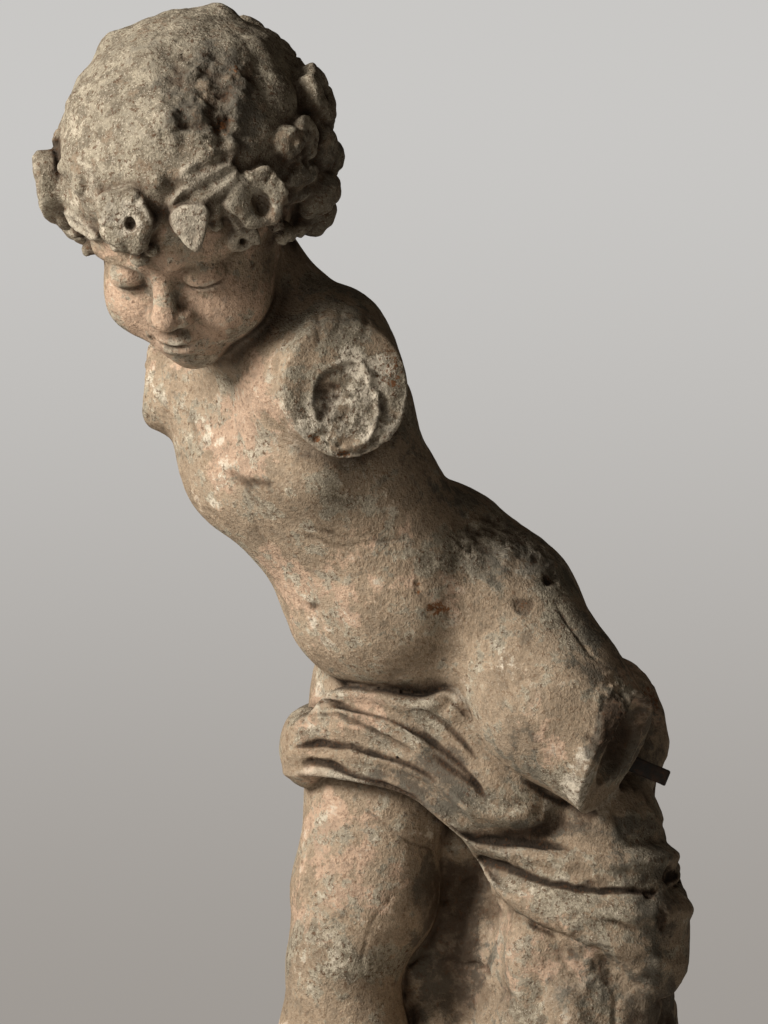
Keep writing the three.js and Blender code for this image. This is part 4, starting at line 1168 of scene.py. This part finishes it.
def write_weathering(stone, field):
    """Float attributes that tell the stone's finish where water, dirt and lichen have worked, and where shade
    is painted: in hollows, in cuts and on the shade patches.
    """
    points, normals = to_shares(points_of(stone)), normals_of(stone)
    facing = facing_camera(points, normals)
    on = shares_of_parts(points)
    # Painted shade and dirt: the less open air round a point and the deeper the cuts, the darker its colour.
    hollow = 1 - sum(
        share * np.clip(field.distance(points + off * normals) / off, 0, 1) for off, share in OPEN_AIR
    )
    hollow += CUT_DIRT_AND_SHADE * np.clip(cut_depth(points, facing, on["cloth"]), 0, CUT_DIRT_AND_SHADE_DEPTH)
    thin = np.clip(field.distance(points - RIDGE_DEPTH * normals) / RIDGE_DEPTH + 1, 0, 1)
    ragged = 0.5 * layered(points, 30, 3)
    drift = layered(points, 60, 3)
    upward = smooth_step(0.1, 0.9, normals[:, 2])
    level = {
        # The shade patches paint deep shade into the hollow level.
        "hollow": np.maximum(hollow, stained(points, facing, SHADE_PATCHES, 0.5 * ragged)),
        "ridge": thin,
    }
    for name, patches in STAINS.items():
        level[name] = stained(points, facing, patches, ragged)
    behind = 1 - facing
    level["lichen"] = np.maximum(level["lichen"], on["hair"] * 0.95)
    level["lichen"] = np.maximum(level["lichen"], on["cloth"] * (0.2 + 0.35 * upward))
    level["lichen"] += behind * (0.45 * upward + 0.25 * smooth_step(0, 0.8, drift))
    level["grime_and_shade"] += behind * 0.35 * smooth_step(0.1, 0.9, layered(points, 40, 3))
    level["grime_and_shade"] += 0.5 * on["ground"] * smooth_step(120, 40, points[:, 2])
    level["warm"] += 0.6 * on["face"] + behind * 0.4 * smooth_step(0, 0.8, -drift)
    for name, values in level.items():
        attribute = stone.data.attributes.new(name, "FLOAT", "POINT")
        attribute.data.foreach_set("value", np.clip(values, 0, 1).astype(np.float32))


class Nodes:
    """A node tree that is built by plain calls."""

    def __init__(self, tree):
        self.tree = tree

    def node(self, kind, inputs=(), **values):
        node = self.tree.nodes.new(kind)
        for name, value in values.items():
            setattr(node, name, value)
        for socket, value in dict(inputs).items():
            self.feed(node.inputs[socket], value)
        return node

    def feed(self, socket, value):
        if isinstance(value, bpy.types.NodeSocket):
            self.tree.links.new(value, socket)
        else:
            socket.default_value = value

    def sum(self, a, b, operation="ADD"):
        return self.node("ShaderNodeMath", {0: a, 1: b}, operation=operation).outputs[0]

    def step(self, value, low, high, to_low=0.0, to_high=1.0):
        inputs = {0: value, 1: low, 2: high, 3: to_low, 4: to_high}
        return self.node("ShaderNodeMapRange", inputs, interpolation_type="SMOOTHSTEP").outputs[0]

    def mix(self, amount, a, b):
        inputs = {"Factor": amount, 6: a, 7: b}
        return self.node("ShaderNodeMix", inputs, data_type="RGBA").outputs[2]


class Finish(Nodes):
    """A material whose patterns lie on the object."""

    def __init__(self, name):
        self.material = bpy.data.materials.new(name)
        self.material.use_nodes = True
        super().__init__(self.material.node_tree)
        self.shader = self.tree.nodes["Principled BSDF"]
        self.place = self.node("ShaderNodeTexCoord").outputs["Object"]

    def noise(self, size, detail=3.0, roughness=0.55, distortion=0.0, seed=0.0):
        """Noise between 0 and 1 whose largest grains are a size in millimetres."""
        inputs = {
            "Vector": self.place, "W": seed, "Scale": 1 / (size * MM), "Detail": detail,
            "Roughness": roughness, "Distortion": distortion,
        }
        return self.node("ShaderNodeTexNoise", inputs, noise_dimensions="4D").outputs["Fac"]

    def level(self, name):
        return self.node("ShaderNodeAttribute", attribute_name=name).outputs["Fac"]

    def bump(self, height, reach, strength, below=None):
        inputs = {"Height": height, "Distance": reach * MM, "Strength": strength}
        if below is not None:
            inputs["Normal"] = below
        return self.node("ShaderNodeBump", inputs).outputs["Normal"]


def colour(r, g, b):
    return (r, g, b, 1.0)


BUFF = colour(0.40, 0.30, 0.205)
PEACH = colour(0.46, 0.315, 0.22)
OCHRE = colour(0.29, 0.215, 0.145)
FILM = colour(0.17, 0.145, 0.105)
ASH = colour(0.34, 0.30, 0.225)
SLATE = colour(0.072, 0.063, 0.05)
WHITE = colour(0.62, 0.545, 0.435)
BLACK = colour(0.018, 0.013, 0.009)
BROWN = colour(0.06, 0.038, 0.024)
RUST = colour(0.15, 0.062, 0.024)


def stone_finish():
    f = Finish("weathered_limestone")
    fine = f.noise(1.3, 2, 0.8)
    speck = f.noise(3.2, 3, 0.75)
    mottle = f.noise(10, 5, 0.72, 0.1)
    blotch = f.noise(30, 5, 0.66, 0.3)
    stain = f.noise(24, 5, 0.68, 0.4, 3.0)
    drift = f.noise(85, 3, 0.5, 0.6)

    body = f.mix(f.step(blotch, 0.42, 0.58), OCHRE, BUFF)
    warm = f.sum(f.level("warm"), f.step(stain, 0.38, 0.62, -0.45, 0.35))
    warm = f.sum(warm, f.step(mottle, 0.38, 0.62, -0.25, 0.25))
    body = f.mix(f.step(warm, 0.35, 0.75, 0.0, 0.9), body, PEACH)

    lichen = f.sum(f.level("lichen"), f.step(blotch, 0.4, 0.6, -0.3, 0.6))
    lichen = f.sum(lichen, f.step(mottle, 0.36, 0.64, -0.4, 0.4))
    film = f.step(lichen, 0.3, 0.75, 0.0, 0.88)
    crust = f.mix(f.step(mottle, 0.44, 0.58), FILM, ASH)
    skin = f.mix(film, body, crust)

    pale = f.sum(f.level("pale"), f.step(stain, 0.42, 0.62, -0.25, 0.3))
    pale = f.sum(pale, f.step(mottle, 0.38, 0.62, -0.35, 0.35))
    skin = f.mix(f.step(pale, 0.35, 0.85, 0.0, 0.85), skin, WHITE)
    edge = f.step(f.sum(f.level("ridge"), f.step(mottle, 0.3, 0.7, -0.25, 0.2)), 0.15, 0.7, 0.0, 0.4)
    skin = f.mix(edge, skin, WHITE)

    grainy = f.step(film, 0.0, 0.85, 0.4, 1.0)
    shade = f.sum(f.step(mottle, 0.56, 0.4, 0.0, 0.34), f.step(drift, 0.6, 0.4, 0.0, 0.1))
    skin = f.mix(shade, skin, SLATE)
    dark = f.sum(f.step(speck, 0.5, 0.66), grainy, "MULTIPLY")
    skin = f.mix(f.sum(dark, 0.85, "MULTIPLY"), skin, BROWN)
    light = f.sum(f.step(fine, 0.54, 0.66), grainy, "MULTIPLY")
    skin = f.mix(f.sum(light, 0.5, "MULTIPLY"), skin, WHITE)

    # Grime and painted shade darken the colour towards slate.
    grime_and_shade = f.sum(f.level("grime_and_shade"), f.step(mottle, 0.38, 0.62, -0.4, 0.4))
    grime_and_shade = f.sum(grime_and_shade, f.step(stain, 0.6, 0.4, -0.1, 0.25))
    skin = f.mix(f.step(grime_and_shade, 0.1, 1.05, 0.0, 0.86), skin, SLATE)
    # Dirt and painted shade from the hollow level: brown, and black in the deepest.
    dirt_and_shade = f.sum(f.level("hollow"), f.step(mottle, 0.3, 0.7, -0.1, 0.1))
    skin = f.mix(f.step(dirt_and_shade, 0.1, 0.6, 0.0, 0.85), skin, BROWN)
    skin = f.mix(f.step(dirt_and_shade, 0.45, 0.85, 0.0, 0.85), skin, BLACK)

    rust = f.step(f.sum(f.level("rust"), f.step(speck, 0.36, 0.64, -0.6, 0.6)), 0.35, 1.1, 0.0, 0.9)
    skin = f.mix(rust, skin, RUST)

    normal = f.bump(mottle, 2.2, 0.7)
    normal = f.bump(speck, 1.5, 1.0, normal)
    normal = f.bump(fine, 0.6, 0.8, normal)
    f.feed(f.shader.inputs["Base Color"], skin)
    f.feed(f.shader.inputs["Normal"], normal)
    f.feed(f.shader.inputs["Roughness"], f.step(mottle, 0.3, 0.7, 0.88, 0.97))
    f.shader.inputs["Specular IOR Level"].default_value = 0.15
    return f.material


def iron_finish():
    f = Finish("rusted_iron")
    scale = f.noise(6, 5, 0.65)
    fine = f.noise(1.5, 3, 0.7)
    skin = f.mix(f.step(scale, 0.4, 0.65), colour(0.018, 0.015, 0.013), colour(0.05, 0.028, 0.018))
    skin = f.mix(f.step(fine, 0.58, 0.7, 0.0, 0.6), skin, colour(0.14, 0.06, 0.03))
    f.feed(f.shader.inputs["Base Color"], skin)
    f.feed(f.shader.inputs["Roughness"], f.step(fine, 0.3, 0.7, 0.6, 0.85))
    f.feed(f.shader.inputs["Normal"], f.bump(scale, 0.6, 0.6))
    f.shader.inputs["Metallic"].default_value = 0.35
    return f.material


# The forged bar keeps the frame's own strap: its edges are eased and its faces hammered a little.
BAR_CORNERS = 4
FLAT_ANGLE = 0.02
BAR_EASE = 1.1
BAR_SPACING = 2.0
BAR_PITTING = 0.22


def forge_bar():
    bar = copy_of_node("iron_bar", "forged_bar")
    bm = bmesh.new()
    bm.from_mesh(bar.data)
    bmesh.ops.dissolve_limit(bm, angle_limit=FLAT_ANGLE, verts=bm.verts, edges=bm.edges)
    shortest_run = sorted(e.calc_length() for e in bm.edges)[-BAR_CORNERS]
    cuts = int(shortest_run / (BAR_SPACING * MM))
    ease = BAR_EASE * MM
    bmesh.ops.bevel(bm, geom=bm.edges, offset=ease, affect="EDGES", segments=2, profile=0.5, material=-1)
    longest = max(e.calc_length() for e in bm.edges)
    runs = [e for e in bm.edges if e.calc_length() > 0.8 * longest]
    bmesh.ops.subdivide_edges(bm, edges=runs, cuts=cuts, use_grid_fill=True)
    bmesh.ops.recalc_face_normals(bm, faces=bm.faces)
    bm.to_mesh(bar.data)
    bm.free()
    points, normals = points_of(bar), normals_of(bar)
    place_points(bar, points - normals * (BAR_PITTING * (1 + layered(points, 7, 3)))[:, None])
    return bar


def shade_smooth(obj):
    obj.data.polygons.foreach_set("use_smooth", np.ones(len(obj.data.polygons), bool))
    obj.data.update()


def add_piece(obj, node, material):
    obj.data.materials.clear()
    obj.data.materials.append(material)
    shade_smooth(obj)
    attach(obj, "root")
    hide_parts(node)


# Studio: a pale floor, a soft key from the left, a weak fill and a plain warm grey ground behind.
FLOOR_RADIUS = 1.4
GROUND_RISE = (-0.16, 0.12)
LOW_GROUND = colour(0.34, 0.315, 0.29)
HIGH_GROUND = colour(0.585, 0.575, 0.56)
GLOW = colour(1.0, 0.86, 0.70)
GLOW_STRENGTH = 0.075
KEY = {"place": (-2.1, -1.3, 1.6), "target": (-0.05, 0, 0.5), "size": 0.7, "watts": 128}
KEY_TINT = (1.0, 0.965, 0.91)
FILL = {"place": (-1.4, -2.2, 0.4), "target": (0, 0, 0.45), "size": 1.6, "watts": 9}
FILL_TINT = (1.0, 0.94, 0.86)


def studio_floor():
    bm = bmesh.new()
    bmesh.ops.create_circle(bm, cap_ends=True, segments=96, radius=FLOOR_RADIUS)
    mesh = bpy.data.meshes.new("studio_floor")
    bm.to_mesh(mesh)
    bm.free()
    floor = in_scene("studio_floor", mesh)
    f = Finish("pale_floor")
    f.shader.inputs["Base Color"].default_value = colour(0.55, 0.54, 0.52)
    f.shader.inputs["Roughness"].default_value = 0.8
    mesh.materials.append(f.material)


def soft_light(name, place, target, size, watts, tint):
    data = bpy.data.lights.new(name, "AREA")
    data.size = size
    data.energy = watts
    data.color = tint
    lamp = in_scene(name, data)
    lamp.location = place
    lamp.rotation_euler = (Vector(target) - Vector(place)).to_track_quat("-Z", "Y").to_euler()


def studio_ground():
    """What the camera sees behind the figure, and the weak light that comes from all round."""
    world = bpy.data.worlds.new("studio")
    bpy.context.scene.world = world
    world.use_nodes = True
    world.node_tree.nodes.clear()
    g = Nodes(world.node_tree)
    way = g.node("ShaderNodeTexCoord").outputs["Generated"]
    up = g.node("ShaderNodeSeparateXYZ", {0: way}).outputs["Z"]
    shade = g.mix(g.step(up, *GROUND_RISE), LOW_GROUND, HIGH_GROUND)
    seen = g.node("ShaderNodeBackground", {"Color": shade}).outputs[0]
    glow = g.node("ShaderNodeBackground", {"Color": GLOW, "Strength": GLOW_STRENGTH}).outputs[0]
    by_camera = g.node("ShaderNodeLightPath").outputs["Is Camera Ray"]
    either = g.node("ShaderNodeMixShader", {0: by_camera, 1: glow, 2: seen}).outputs[0]
    g.node("ShaderNodeOutputWorld", {"Surface": either})


def camera():
    data = bpy.data.cameras.new("camera")
    distance = -CAMERA_PLACE[1]
    data.sensor_width = SENSOR
    data.lens = SENSOR * distance / (PIXEL * PICTURE_LONG_SIDE)
    eye = in_scene("camera", data)
    eye.location = CAMERA_PLACE * MM
    eye.rotation_euler = (math.pi / 2, 0, 0)
    bpy.context.scene.camera = eye


bpy.context.scene.view_settings.view_transform = "Standard"
camera()
studio_floor()
studio_ground()
soft_light("key", tint=KEY_TINT, **KEY)
soft_light("fill", tint=FILL_TINT, **FILL)

stone, stone_field = carve_stone()
write_weathering(stone, stone_field)
add_piece(stone, "putto", stone_finish())
add_piece(forge_bar(), "iron_bar", iron_finish())
